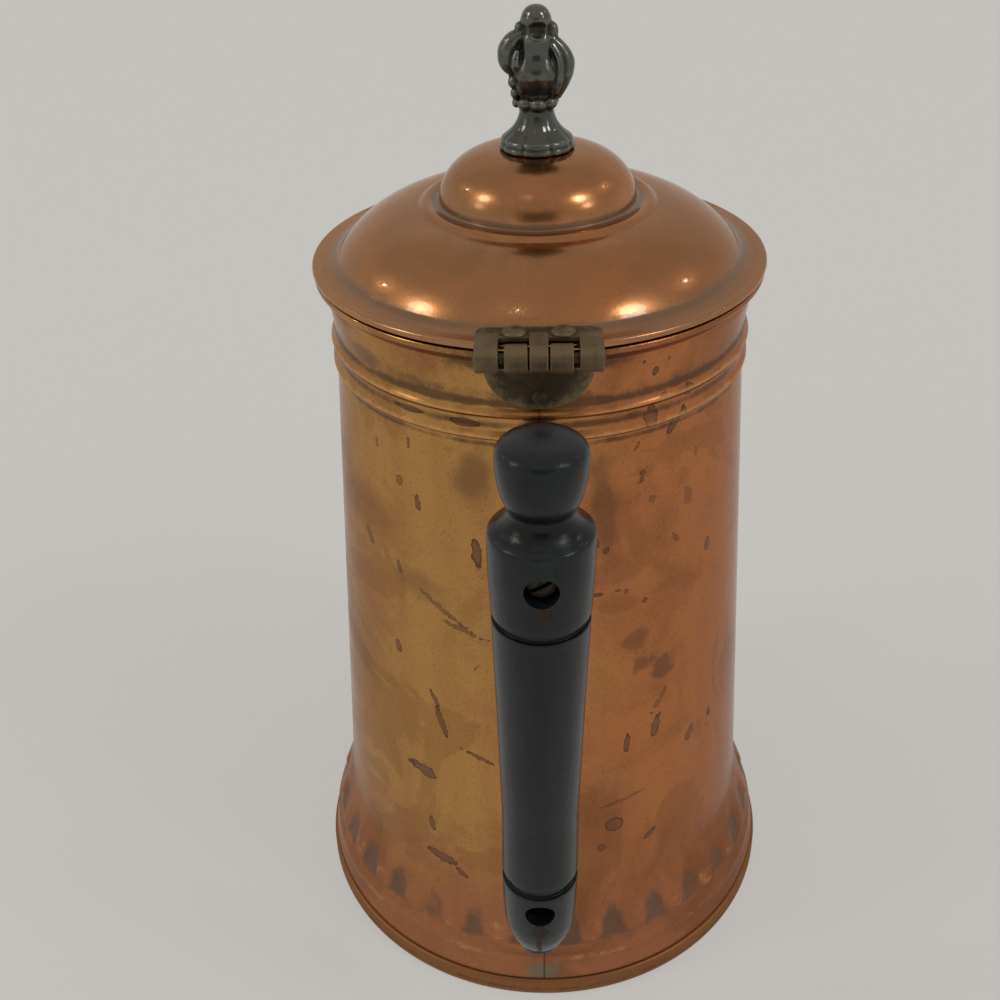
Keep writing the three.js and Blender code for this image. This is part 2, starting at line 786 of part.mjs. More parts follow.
// Body leaf: a half-round plate on the collar, bent outwards at its top to carry two knuckles.
function hingeBodyLeaf() {
  const half = bodyLeafWidth / 2;
  const bottom = bodyLeafBend - bodyLeafDepth;
  const top = bodyLeafBend + seatGap;
  const [lip, belly] = [bottom + leafThickness, half / 2];
  const outline = new THREE.Shape();
  outline.moveTo(half, top);
  outline.lineTo(-half, top);
  outline.bezierCurveTo(-half, lip, -belly, bottom, 0, bottom);
  outline.bezierCurveTo(belly, bottom, half, lip, half, top);
  const offsets = (offset) => [bottom - sheet, top].map((z) => [collarOuter(z) + seatGap + offset, z]);
  const ring = [...offsets(leafThickness), ...offsets(0).reverse()];
  const sleeve = solid(revolve([...ring, ring[0]], bodySides));
  const blank = extrudeAlongY(outline, -collarRadius - half / 2, -collarRadius + half / 2, 6);
  const inner = collarOuter(bodyLeafBend) + seatGap;
  const knuckleFoot = hingeAxisHeight - knuckleRadius + leafThickness / 2;
  const web = new THREE.Shape();
  web.moveTo(-inner, bodyLeafBend - leafThickness / 3);
  web.lineTo(-hingeAxisReach + knuckleRadius / 2, knuckleFoot);
  web.lineTo(-hingeAxisReach - seatGap, knuckleFoot);
  web.lineTo(-inner - leafThickness - seatGap, bodyLeafBend - leafThickness / 2);
  const knuckles = knuckleSpans().body.flatMap(([from, to]) => [
    extrudeAlongX(knuckleOutline(), from, to, 6),
    cut(extrudeAlongX(web, from, to), pinRoom()),
  ]);
  return cut(join(blank.intersect(sleeve), ...knuckles), bodyRivetHole());
}

function bodyRivetHeight() {
  return bodyLeafBend - bodyLeafDepth + 2 * bodyRivetHead;
}

function bodyRivetHole() {
  const z = bodyRivetHeight();
  return holeNearWall(bodyRivetShank + seatGap, collarOuter(z), z);
}

function hingeBodyRivet() {
  const z = bodyRivetHeight();
  const inside = new THREE.Vector3(0, -(collarOuter(z) - sheet - 2 * seatGap), z);
  const grip = leafThickness + sheet + 4 * seatGap;
  return rivet(inside, new THREE.Vector3(0, -1, 0), bodyRivetHead, bodyRivetShank, grip, rivetTail);
}

function pinRoom() {
  const centre = new THREE.Vector3(0, -hingeAxisReach, hingeAxisHeight);
  const reach = new THREE.Vector3(hingeWidth, 0, 0);
  return rod(hingePinRadius + hingeGap, centre.clone().sub(reach), centre.clone().add(reach));
}

// Hinge pin with a slightly spread head outside each end knuckle.
function hingePin() {
  const half = hingeWidth / 2 + hingeGap;
  const [head, end] = [hingePinRadius + pinHead, half + pinHead];
  const profile = [
    [0, -end],
    [head, -end],
    [head, -half],
    [hingePinRadius, -half],
    [hingePinRadius, half],
    [head, half],
    [head, end],
    [0, end],
  ];
  const centre = new THREE.Vector3(0, -hingeAxisReach, hingeAxisHeight);
  return turned(profile, smallSides, centre, new THREE.Vector3(1, 0, 0));
}

// Direction in which the spout leaves the wall.
function spoutDirection() {
  const lean = THREE.MathUtils.degToRad(spoutLeanAngle);
  return new THREE.Vector3(0, Math.cos(lean), Math.sin(lean));
}

function spoutRoot() {
  return new THREE.Vector3(0, wallRadius(spoutRootHeight), spoutRootHeight);
}

// Centre line of the spout in the YZ plane, from inside the wall to the lip.
function spoutPath() {
  const root = spoutRoot();
  const along = (distance) => root.clone().addScaledVector(spoutDirection(), distance);
  const rise = spoutTipHeight - spoutRootHeight;
  const reach = spoutReach - spoutTipRadius * spoutTipTiltShare - root.y;
  const bend = ([out, upwards]) => root.clone().add(new THREE.Vector3(0, out * reach, upwards * rise));
  const foot = [along(-spoutRootRadius / 2), along(spoutRootRadius / 2)];
  return new THREE.CatmullRomCurve3([...foot, ...spoutBends.map(bend)]);
}

// Radius of the spout over its length: swelling at the root, slim at the neck.
function spoutRadius(t) {
  return spoutTipRadius + (spoutRootRadius - spoutTipRadius) * Math.pow(1 - t, spoutTaperPower);
}

// Cross-section of the spout, square to its centre line. Past its end the line runs straight on.
function spoutRing(curve, t, offset) {
  const end = Math.min(1, t);
  const tangent = curve.getTangentAt(end);
  const centre = curve.getPointAt(end).addScaledVector(tangent, (t - end) * curve.getLength());
  const side = new THREE.Vector3(1, 0, 0);
  const normal = new THREE.Vector3().crossVectors(tangent, side);
  const radius = spoutRadius(end) + offset;
  return Array.from({ length: spoutSides }, (_, i) => {
    const angle = (i / spoutSides) * 2 * Math.PI;
    const across = side.clone().multiplyScalar(radius * Math.cos(angle));
    return centre.clone().add(across).addScaledVector(normal, radius * Math.sin(angle));
  });
}

// Solid core of a tube on a curve, closed by its end centres.
function loft(rings) {
  const middle = (ring) => {
    const sum = ring.reduce((total, p) => total.add(p), new THREE.Vector3());
    return [sum.divideScalar(ring.length)];
  };
  return solid(skin([middle(rings[0]), ...rings, middle(rings[rings.length - 1])]));
}

// Spout: a tapered tube on the gooseneck curve, with a soldered collar where it meets the body.
function spout() {
  const curve = spoutPath();
  const steps = [0, 0.13, 0.26, 0.4, 0.56, 0.72, 0.87, 1];
  const pastEnd = 1.02;
  const tube = loft(steps.map((t) => spoutRing(curve, t, 0)));
  const bore = loft([...steps, pastEnd].map((t) => spoutRing(curve, t, -sheet)));
  const [low, high] = [spoutRootHeight - 2 * spoutRootRadius, spoutRootHeight + 2 * spoutRootRadius];
  const root = spoutRoot();
  const flange = rod(
    spoutRootRadius + spoutCollarWidth,
    root.clone().addScaledVector(spoutDirection(), -spoutRootRadius),
    root.clone().addScaledVector(spoutDirection(), spoutRootRadius),
    spoutSides,
  ).intersect(wallSleeve(low, high, seatGap, spoutCollarThickness));
  return cut(join(cut(tube, wallCore(low, high, seatGap)), flange), bore);
}

// Opening in the wall under the spout.
function spoutHole() {
  const root = spoutRoot();
  const reach = spoutDirection().multiplyScalar(spoutHoleRadius);
  return rod(spoutHoleRadius, root.clone().sub(reach), root.clone().add(reach), spoutSides);
}

// Strainer: a curved plate inside the wall, punched in staggered rows over the spout's opening.
function spoutStrainer() {
  const plateRadius = spoutHoleRadius + spoutCollarWidth;
  const [low, high] = [spoutRootHeight - plateRadius - sheet, spoutRootHeight + plateRadius + sheet];
  const offset = -sheet - wallRelief - seatGap - strainerThickness;
  const outline = new THREE.Shape();
  outline.absarc(0, spoutRootHeight, plateRadius, 0, 2 * Math.PI, false);
  const wall = wallRadius(spoutRootHeight);
  const [back, front] = [wall - plateRadius, wall + plateRadius];
  const blank = extrudeAlongY(outline, back, front, 9);
  const plate = blank.intersect(wallSleeve(low, high, offset, strainerThickness));
  const holes = [-2, -1, 0, 1, 2].flatMap((row) => {
    const count = row % 2 ? 2 : 3;
    return Array.from({ length: count }, (_, i) => {
      const x = (i - (count - 1) / 2) * strainerPitch;
      const z = spoutRootHeight + row * strainerPitch * Math.sin(Math.PI / 4);
      return rod(strainerHoleRadius, new THREE.Vector3(x, back, z), new THREE.Vector3(x, front, z), 6);
    });
  });
  return cut(plate, ...holes);
}

// Scroll of the finial: an oval bar bent along a curve in the XZ plane.
function finialScroll(shares) {
  const places = shares.map(([x, z]) => finialPlace(x, 0, z));
  const section = new THREE.Shape();
  section.absellipse(0, 0, finialScrollThickness / 2, finialScrollWidth / 2, 0, 2 * Math.PI, false);
  const extrudePath = new THREE.CatmullRomCurve3(places);
  const options = { steps: 7, bevelEnabled: false, extrudePath, curveSegments: 3 };
  return solid(new THREE.ExtrudeGeometry(section, options));
}

// Place in the finial from shares of its foot radius and of its height.
function finialPlace(x, y, z) {
  return new THREE.Vector3(x * finialFootRadius, y * finialFootRadius, crownTop + z * finialHeight);
}

function berry(x, y, z) {
  const place = finialPlace(x, y, z);
  const round = new THREE.SphereGeometry(finialBerryRadius, 6, 3).rotateX(Math.PI / 2);
  return solid(round.translate(place.x, place.y, place.z));
}

// Round part of the finial from shares of its foot radius and of its height.
function finialTurning(shares) {
  const profile = shares.map(([radius, height]) => [radius * finialFootRadius, height * finialHeight]);
  return revolve(profile, smallSides).translate(0, 0, crownTop);
}

// Foot with lobes that fade out towards the waist.
function finialFoot() {
  const rings = finialFootRings.map(([radius, height, depth]) =>
    levelRing(crownTop + height * finialHeight, 4 * finialLobes, (angle) => {
      const ridge = Math.abs(Math.cos((angle * finialLobes) / 2));
      return (radius - depth * (1 - ridge)) * finialFootRadius;
    }),
  );
  return loft(rings);
}

// Finial: lobed foot, ring of beads, oval shield between two scrolls, and a bud on top.
function finial() {
  const beads = Array.from({ length: finialLobes }, (_, i) => {
    const angle = (i / finialLobes) * 2 * Math.PI;
    const [x, y] = [Math.sin(angle), Math.cos(angle)].map((share) => share * finialBeadRingShare);
    return berry(x, y, finialBeadHeightShare);
  });
  const shield = solid(finialTurning(finialShield).scale(1, finialShieldFlatShare, 1));
  const bud = solid(finialTurning(finialBud));
  const scrolls = finialScrolls.map(finialScroll);
  const berries = finialBerries.map((place) => berry(...place));
  const bore = rod(
    finialScrewRadius + seatGap,
    new THREE.Vector3(0, 0, crownTop - sheet),
    new THREE.Vector3(0, 0, crownTop + finialScrewLength),
  );
  return cut(join(finialFoot(), shield, bud, ...scrolls, ...beads, ...berries), bore);
}

function finialWasher() {
  const top = crownTop - sheet - seatGap;
  const hole = finialScrewRadius + seatGap;
  const profile = [
    [hole, top - finialWasherThickness],
    [finialWasherRadius, top - finialWasherThickness],
    [finialWasherRadius, top],
    [hole, top],
    [hole, top - finialWasherThickness],
  ];
  return solid(revolve(profile, spoutSides));
}

// Screw from inside the lid up into the finial.
function finialScrew() {
  const seat = crownTop - sheet - 2 * seatGap - finialWasherThickness;
  const head = seat - finialScrewHeadHeight;
  const end = crownTop + finialScrewLength - sheet;
  const edge = finialScrewHeadHeight / 4;
  const profile = [
    [0, head],
    [finialScrewHeadRadius - edge, head],
    [finialScrewHeadRadius, head + edge],
    [finialScrewHeadRadius, seat],
    [finialScrewRadius, seat],
    [finialScrewRadius, end],
    [0, end],
  ];
  const blank = solid(revolve(profile, smallSides));
  const slot = new THREE.BoxGeometry(3 * finialScrewHeadRadius, screwSlotWidth, 2 * screwSlotDepth);
  return cut(blank, solid(slot.translate(0, 0, head)));
}

// Holes through the wall for the spout, the bracket rivets and the hinge rivet.
function bodyHoles() {
  const rivets = [...bracketRivetHoles(upperScrewHeight, -1), ...bracketRivetHoles(lowerScrewHeight, 1)];
  return [spoutHole(), bodyRivetHole(), ...rivets];
}

const bodyGroup = new THREE.Group();
bodyGroup.add(
  piece("body_shell", cut(bodyShell(), ...bodyHoles()), copper),
  piece("bottom_plate", bottomPlate(), copper),
  piece("spout", spout(), copper),
  piece("spout_strainer", spoutStrainer(), tinned),
  piece("handle_bracket_upper", handleBracket(upperScrewHeight, -1), iron),
  piece("handle_bracket_lower", handleBracket(lowerScrewHeight, 1), iron),
  piece("bracket_rivet_upper_high", bracketRivet(upperScrewHeight, -1, bracketRivetSteps[0]), copper),
  piece("bracket_rivet_upper_low", bracketRivet(upperScrewHeight, -1, bracketRivetSteps[1]), copper),
  piece("bracket_rivet_lower_low", bracketRivet(lowerScrewHeight, 1, bracketRivetSteps[0]), copper),
  piece("bracket_rivet_lower_high", bracketRivet(lowerScrewHeight, 1, bracketRivetSteps[1]), copper),
  piece("handle", handleSolid(), blackWood),
  piece("handle_screw_upper", handleScrew(upperScrewHeight), iron),
  piece("handle_screw_lower", handleScrew(lowerScrewHeight), iron),
  piece("hinge_body_leaf", hingeBodyLeaf(), brass),
  piece("hinge_body_rivet", hingeBodyRivet(), iron),
  piece("hinge_pin", hingePin(), brass),
);

const lidGroup = new THREE.Group();
const [leftRivet, rightRivet] = lidRivetPlaces();
lidGroup.add(
  piece("lid", cut(lidShell(), ...lidRivetHoles()), copper),
  piece("lid_inner_collar", lidInnerCollar(), tinned),
  piece("hinge_lid_leaf", hingeLidLeaf(), brass),
  piece("lid_rivet_left", lidRivet(leftRivet), brass),
  piece("lid_rivet_right", lidRivet(rightRivet), brass),
  piece("finial", finial(), pewter),
  piece("finial_washer", finialWasher(), tinned),
  piece("finial_screw", finialScrew(), iron),
);

const coffeePot = new THREE.Group();
coffeePot.name = "coffee_pot";
coffeePot.add(bodyGroup, lidGroup);

export default coffeePot;
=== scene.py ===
"""Finished look of a tall copper coffee pot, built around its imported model.

Everything stands in the model's frame: +Z up, the turned handle on -Y, the spout on +Y, the lid hinge along X.
Sizes inside the classes are millimetres, as a maker would read them. They become metres when a mesh is made.
"""

import logging
import math
from dataclasses import dataclass, field
from enum import Enum
from typing import Callable, Sequence

import bmesh
import bpy
import numpy as np
from mathutils import Matrix, Vector


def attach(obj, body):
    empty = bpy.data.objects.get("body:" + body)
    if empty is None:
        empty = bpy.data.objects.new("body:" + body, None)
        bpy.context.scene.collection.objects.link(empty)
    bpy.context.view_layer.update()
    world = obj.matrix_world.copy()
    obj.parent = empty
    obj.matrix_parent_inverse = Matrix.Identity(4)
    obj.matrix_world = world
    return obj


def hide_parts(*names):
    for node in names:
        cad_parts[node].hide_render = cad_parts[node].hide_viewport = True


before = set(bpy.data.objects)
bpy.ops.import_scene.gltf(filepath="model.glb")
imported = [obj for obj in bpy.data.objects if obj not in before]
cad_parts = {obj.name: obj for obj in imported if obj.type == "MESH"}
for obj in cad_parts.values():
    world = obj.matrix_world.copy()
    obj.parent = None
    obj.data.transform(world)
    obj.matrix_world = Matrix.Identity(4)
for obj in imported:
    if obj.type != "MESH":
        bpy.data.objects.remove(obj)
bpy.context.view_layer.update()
MM = 0.001
log = logging.getLogger("coffee_pot")

Array = np.ndarray
Colour = tuple[float, float, float, float]
Line = Sequence[Sequence[float]]
Material = bpy.types.Material
Node = bpy.types.Node
Piece = bpy.types.Object
Socket = bpy.types.NodeSocket
Sockets = bpy.types.bpy_prop_collection
Tree = bpy.types.NodeTree


def paint(red: int, green: int, blue: int) -> Colour:
    """Turns a colour read from a screen, 0 to 255, into the linear values of a shader.

    Args:
        red: Red part.
        green: Green part.
        blue: Blue part.

    Returns:
        The linear colour with full alpha.
    """
    parts = [value / 255 for value in (red, green, blue)]
    linear = [p / 12.92 if p <= 0.04045 else ((p + 0.055) / 1.055) ** 2.4 for p in parts]
    return (linear[0], linear[1], linear[2], 1.0)


# Surfaces


@dataclass
class Patch:
    """A grid of points with its texture place, its edge values and the finish it takes.

    Attributes:
        points: Array of rows, columns and three coordinates, in millimetres.
        wrap_rows: Whether the last row joins the first.
        wrap_columns: Whether the last column joins the first.
        across: Texture coordinate of each column, one more than the columns when they wrap.
        along: Texture coordinate of each row.
        ridge: How much each row or point is lightened as a rubbed edge, 0 to 1; on the wall it also carries painted
            highlights.
        hollow: How much each row or point is darkened in a crease, 0 to 1; on the wall, finial and handle it also
            carries painted shade.
        finish: Index of the finish of each row.
    """

    points: Array
    wrap_rows: bool = False
    wrap_columns: bool = True
    across: Array | None = None
    along: Array | None = None
    ridge: Array | None = None
    hollow: Array | None = None
    finish: Array | None = None

    def faces(self) -> tuple[Array, Array, Array]:
        """Lists the quads of the grid.

        Returns:
            Corner vertices, corner texture coordinates and the finish of each quad.
        """
        rows, columns = self.points.shape[:2]
        i = np.arange(rows if self.wrap_rows else rows - 1)
        j = np.arange(columns if self.wrap_columns else columns - 1)
        i, j = (a.ravel() for a in np.meshgrid(i, j, indexing="ij"))
        low, high = i * columns, ((i + 1) % rows) * columns
        left, right = j, (j + 1) % columns
        quads = np.stack([low + left, low + right, high + right, high + left], 1)
        across = self.across if self.across is not None else np.arange(columns + 1) * 1.0
        along = self.along if self.along is not None else np.arange(rows) * 1.0
        u = np.stack([across[j], across[j + 1], across[j + 1], across[j]], 1)
        v = np.stack([along[i], along[i], along[(i + 1) % rows], along[(i + 1) % rows]], 1)
        finish = self.finish[i] if self.finish is not None else np.zeros(len(i), int)
        return quads, np.stack([u, v], 2), finish

    def spread(self, values: Array | None) -> Array:
        """Gives every point its own value, or the value of its row.

        Args:
            values: One value for each row or each point, or None for zeros.

        Returns:
            One value for each point.
        """
        rows, columns = self.points.shape[:2]
        if values is None:
            return np.zeros(rows * columns)
        return np.broadcast_to(values.reshape(rows, -1), (rows, columns)).ravel()


def build(name: str, patches: Sequence[Patch], finishes: Sequence[Material], crease: float = 40.0) -> Piece:
    """Joins patches into one mesh object, with its doubles merged and its sharp edges marked.

    Args:
        name: Name of the piece.
        patches: The surfaces that it is made of.
        finishes: Its materials, in the order that the patches name them.
        crease: Angle in degrees above which an edge stays sharp.

    Returns:
        The object, linked to the scene.
    """
    points, quads, uv, finish, ridge, hollow, start = [], [], [], [], [], [], 0
    for patch in patches:
        corners, places, index = patch.faces()
        points.append(patch.points.reshape(-1, 3))
        quads.append(corners + start)
        uv.append(places)
        finish.append(index)
        ridge.append(patch.spread(patch.ridge))
        hollow.append(patch.spread(patch.hollow))
        start += len(points[-1])
    co, faces = np.concatenate(points) * MM, np.concatenate(quads)
    mesh = bpy.data.meshes.new(name)
    mesh.vertices.add(len(co))
    mesh.vertices.foreach_set("co", co.astype(np.float32).ravel())
    mesh.loops.add(faces.size)
    mesh.loops.foreach_set("vertex_index", faces.astype(np.int32).ravel())
    mesh.polygons.add(len(faces))
    mesh.polygons.foreach_set("loop_start", np.arange(0, faces.size, 4, dtype=np.int32))
    mesh.polygons.foreach_set("material_index", np.concatenate(finish).astype(np.int32))
    layer = mesh.uv_layers.new(name="surface")
    layer.data.foreach_set("uv", (np.concatenate(uv).reshape(-1, 2) * MM).astype(np.float32).ravel())
    for title, values in (("ridge", ridge), ("hollow", hollow)):
        held = mesh.attributes.new(title, "FLOAT", "POINT")
        held.data.foreach_set("value", np.concatenate(values).astype(np.float32))
    mesh.update(calc_edges=True)
    for material in finishes:
        mesh.materials.append(material)
    work = bmesh.new()
    work.from_mesh(mesh)
    bmesh.ops.remove_doubles(work, verts=work.verts, dist=2e-6)
    work.to_mesh(mesh)
    work.free()
    mesh.validate()
    mesh.shade_smooth()
    mesh.set_sharp_from_angle(angle=math.radians(crease))
    piece = bpy.data.objects.new(name, mesh)
    bpy.context.scene.collection.objects.link(piece)
    return piece


def settle(piece: Piece, crease: float = 40.0) -> Piece:
    """Applies a piece's modifiers to its mesh and marks its sharp edges again.

    Args:
        piece: The object with modifiers.
        crease: Angle in degrees above which an edge stays sharp.

    Returns:
        The same object, without modifiers.
    """
    graph = bpy.context.evaluated_depsgraph_get()
    mesh = bpy.data.meshes.new_from_object(piece.evaluated_get(graph), preserve_all_data_layers=True, depsgraph=graph)
    piece.modifiers.clear()
    piece.data = mesh
    mesh.shade_smooth()
    mesh.set_sharp_from_angle(angle=math.radians(crease))
    return piece


def carve(piece: Piece, cutters: Sequence[Piece], crease: float = 40.0) -> Piece:
    """Cuts other objects out of a piece and removes them.

    Args:
        piece: The object that is cut.
        cutters: Closed objects that mark what goes away.
        crease: Angle in degrees above which an edge stays sharp.

    Returns:
        The piece.
    """
    for cutter in cutters:
        cut = piece.modifiers.new("cut", "BOOLEAN")
        cut.operation, cut.solver, cut.object = "DIFFERENCE", "EXACT", cutter
    settle(piece, crease)
    for cutter in cutters:
        bpy.data.objects.remove(cutter)
    return piece


def points_of(mesh: bpy.types.Mesh) -> Array:
    """Reads the places of a mesh's points.

    Args:
        mesh: The mesh.

    Returns:
        Three coordinates for each point, in metres.
    """
    co = np.zeros(len(mesh.vertices) * 3)
    mesh.vertices.foreach_get("co", co)
    return co.reshape(-1, 3)


def move_points(mesh: bpy.types.Mesh, co: Array) -> None:
    """Moves the points of a mesh to new places, in metres."""
    mesh.vertices.foreach_set("co", co.ravel())
    mesh.update()


def smooth_line(points: Line, blur: float = 0.3, longest: float = 4.0, turn: float = 7.0) -> Array:
    """Rounds the corners of a line and spaces its points by how much it turns.

    The line is sampled every 0.05 mm, its coordinates are blurred along its length by a bell curve of the given
    width, and points are kept so that neither their distance nor the turn between them is large.

    Args:
        points: Corners of the line.
        blur: Width of the bell curve, in millimetres.
        longest: Longest distance between kept points, in millimetres.
        turn: Largest turn between kept points, in degrees.

    Returns:
        The kept points.
    """
    corners = np.asarray(points, float)
    steps = np.linalg.norm(np.diff(corners, axis=0), axis=1)
    place = np.concatenate([[0.0], np.cumsum(steps)])
    fine = np.linspace(0.0, place[-1], max(8, int(place[-1] / 0.05)))
    line = np.stack([np.interp(fine, place, corners[:, k]) for k in range(corners.shape[1])], 1)
    if blur > 0:
        reach = int(3 * blur / (fine[1] - fine[0])) + 1
        bell = np.exp(-0.5 * (np.arange(-reach, reach + 1) * (fine[1] - fine[0]) / blur) ** 2)
        before = 2 * line[0] - line[reach:0:-1]
        after = 2 * line[-1] - line[-2:-reach - 2:-1]
        padded = np.concatenate([before, line, after])
        line = np.stack([np.convolve(padded[:, k], bell / bell.sum(), "valid") for k in range(line.shape[1])], 1)
    heading = np.diff(line, axis=0)
    length = np.linalg.norm(heading, axis=1) + 1e-9
    heading /= length[:, None]
    bend = np.degrees(np.arccos(np.clip((heading[1:] * heading[:-1]).sum(1), -1, 1)))
    cost = np.concatenate([[0.0], np.cumsum(length / longest + np.concatenate([bend, [0.0]]) / turn)])
    wanted = np.linspace(0.0, cost[-1], int(math.ceil(cost[-1])) + 1)
    return np.stack([np.interp(wanted, cost, line[:, k]) for k in range(line.shape[1])], 1)


def solid_line(points: Line, blur: float, longest: float, turn: float) -> Array:
    """Rounds a line as smooth_line does, and puts both its ends on the axis of a turned solid.

    Args:
        points: Corners of the line.
        blur: Width of the bell curve, in millimetres.
        longest: Longest distance between kept points, in millimetres.
        turn: Largest turn between kept points, in degrees.

    Returns:
        The kept points.
    """
    line = smooth_line(points, blur, longest, turn)
    line[[0, -1], 0] = 0.0
    return line


def edges_of(profile: Array, reach: float = 1.2) -> tuple[Array, Array]:
    """Finds ridges and creases of a profile that has its material on its left.

    The turn at each point is spread over its neighbours within a reach. A left turn is a ridge, a right turn is a
    crease.

    Args:
        profile: Points of radius and height.
        reach: Spread in millimetres.

    Returns:
        Ridge and crease values, each 0 to 1.
    """
    step = np.diff(profile, axis=0)
    length = np.linalg.norm(step, axis=1) + 1e-9
    heading = np.unwrap(np.arctan2(step[:, 1], step[:, 0]))
    turn = np.concatenate([[0.0], np.diff(heading), [0.0]])
    place = np.concatenate([[0.0], np.cumsum(length)])
    weight = np.exp(-0.5 * ((place[:, None] - place[None, :]) / reach) ** 2)
    spread = weight @ turn
    return np.clip(spread * 1.2, 0, 1), np.clip(-spread * 1.2, 0, 1)


def revolve(
    profile: Array,
    sides: int,
    closed: bool = False,
    change: Callable[[Array, Array], Array] | None = None,
    finish: Array | None = None,
    arc_radius: float = 58.0,
) -> Patch:
    """Turns a profile about Z. A point at radius r and angle a lies at (r sin a, -r cos a, z).

    Args:
        profile: Points of radius and height, counterclockwise, with the material on the left.
        sides: Number of steps around.
        closed: Whether the profile is a loop.
        change: Gives what is added to the radius, from the angles and the heights.
        finish: Index of the finish of each profile point.
        arc_radius: Radius at which texture coordinates are true lengths.

    Returns:
        The surface.
    """
    angle = -math.pi + 2 * math.pi * np.arange(sides) / sides
    radius = np.repeat(profile[:, :1], sides, 1)
    if change is not None:
        radius = radius + change(angle[None, :], profile[:, 1:2])
    height = np.repeat(profile[:, 1:2], sides, 1)
    points = np.stack([radius * np.sin(angle), -radius * np.cos(angle), height], 2)
    ridge, hollow = edges_of(profile)
    across = (-math.pi + 2 * math.pi * np.arange(sides + 1) / sides) * arc_radius
    return Patch(points, closed, True, across, profile[:, 1].copy(), ridge, hollow, finish)


def place(patch: Patch, origin: Sequence[float], axis: Sequence[float]) -> Patch:
    """Moves a patch so that its Z axis starts at a point and runs along a direction.

    Args:
        patch: The patch, which is changed.
        origin: Where its origin goes.
        axis: Where its Z axis points.

    Returns:
        The same patch.
    """
    turn = np.array(Vector((0, 0, 1)).rotation_difference(Vector(axis).normalized()).to_matrix())
    patch.points = patch.points @ turn.T + np.asarray(origin, float)
    return patch


def slab(outline: Array, low: float, high: float, bevel: float = 0.2) -> Patch:
    """Makes a flat plate from a star-shaped outline, as rows from the middle of one face to that of the other.

    Args:
        outline: Points of X and Y, counterclockwise.
        low: Lower height.
        high: Upper height.
        bevel: Width of the broken edge.

    Returns:
        The closed surface.
    """
    middle = outline.mean(0)
    span = np.abs(outline - middle).max()
    inner = middle + (outline - middle) * (1 - bevel / span)
    centre = np.repeat(middle[None], len(outline), 0)
    flat = [(centre, low), (inner, low), (outline, low + bevel), (outline, high - bevel), (inner, high), (centre, high)]
    rows = [np.column_stack([ring, np.full(len(outline), height)]) for ring, height in flat]
    ridge = np.array([0.0, 0.6, 1.0, 1.0, 0.6, 0.0])
    return Patch(np.stack(rows), ridge=ridge, hollow=np.zeros(6))


def lay(ring: Array, middle: Sequence[float], layers: Line, reach: Callable[[Array], Array]) -> Array:
    """Lays a plate on the curved wall on the -Y side, as its outline shrunk in rings towards its middle.

    A ring's point at X and Z lies at the root of the wall's squared radius less the squared X, plus the ring's lift.

    Args:
        ring: Outline in X and Z.
        middle: Place in X and Z that the rings shrink to.
        layers: Size of each ring as a share of the outline, and how far it is lifted off the wall.
        reach: Gives the wall's radius from heights.

    Returns:
        The rings' points, from the wall's side to the outer one.
    """
    rows = []
    for grow, lift in layers:
        flat = middle + (ring - middle) * grow
        deep = np.sqrt(reach(flat[:, 1]) ** 2 - flat[:, 0] ** 2) + lift
        rows.append(np.stack([flat[:, 0], -deep, flat[:, 1]], 1))
    return np.stack(rows)


def sweep(path: Array, radii: Array, sides: int, side: Sequence[float], flat: float = 1.0) -> Patch:
    """Carries a round or oval section along a plane path, and closes both ends to a point.

    Each section is centred on the path and square to it, spanned by the path's side vector and its normal.

    Args:
        path: Points of the centre line.
        radii: Radius at each point.
        sides: Number of steps around.
        side: Unit vector square to the plane of the path.
        flat: Share of the radius kept along the side vector.

    Returns:
        The surface.
    """
    tangent = np.gradient(path, axis=0)
    tangent /= np.linalg.norm(tangent, axis=1)[:, None]
    across = np.repeat(np.asarray(side, float)[None], len(path), 0)
    normal = np.cross(tangent, across)
    angle = 2 * math.pi * np.arange(sides) / sides
    ring = flat * np.cos(angle)[None, :, None] * across[:, None] + np.sin(angle)[None, :, None] * normal[:, None]
    points = path[:, None] + ring * radii[:, None, None]
    first, last = (np.repeat(path[k][None, None], sides, 1) for k in (0, -1))
    points = np.concatenate([first, points, last])
    along = np.concatenate([[0.0], np.cumsum(np.linalg.norm(np.diff(points[:, 0], axis=0), axis=1))])
    return Patch(points, across=np.arange(sides + 1) * 2.0, along=along)


def blob(centre: Sequence[float], size: Sequence[float], sides: int = 20) -> Patch:
    """Makes an egg-shaped solid: a half circle turned about Z and stretched to three half sizes.

    Args:
        centre: Its centre.
        size: Half sizes along X, Y and Z.
        sides: Number of steps around.

    Returns:
        The closed surface.
    """
    turn = np.linspace(-math.pi / 2, math.pi / 2, sides // 2 + 1)
    profile = np.stack([np.cos(turn), np.sin(turn)], 1)
    profile[[0, -1], 0] = 0.0
    patch = revolve(profile, sides)
    patch.points = patch.points * np.asarray(size, float) + np.asarray(centre, float)
    return patch


# Shader tools


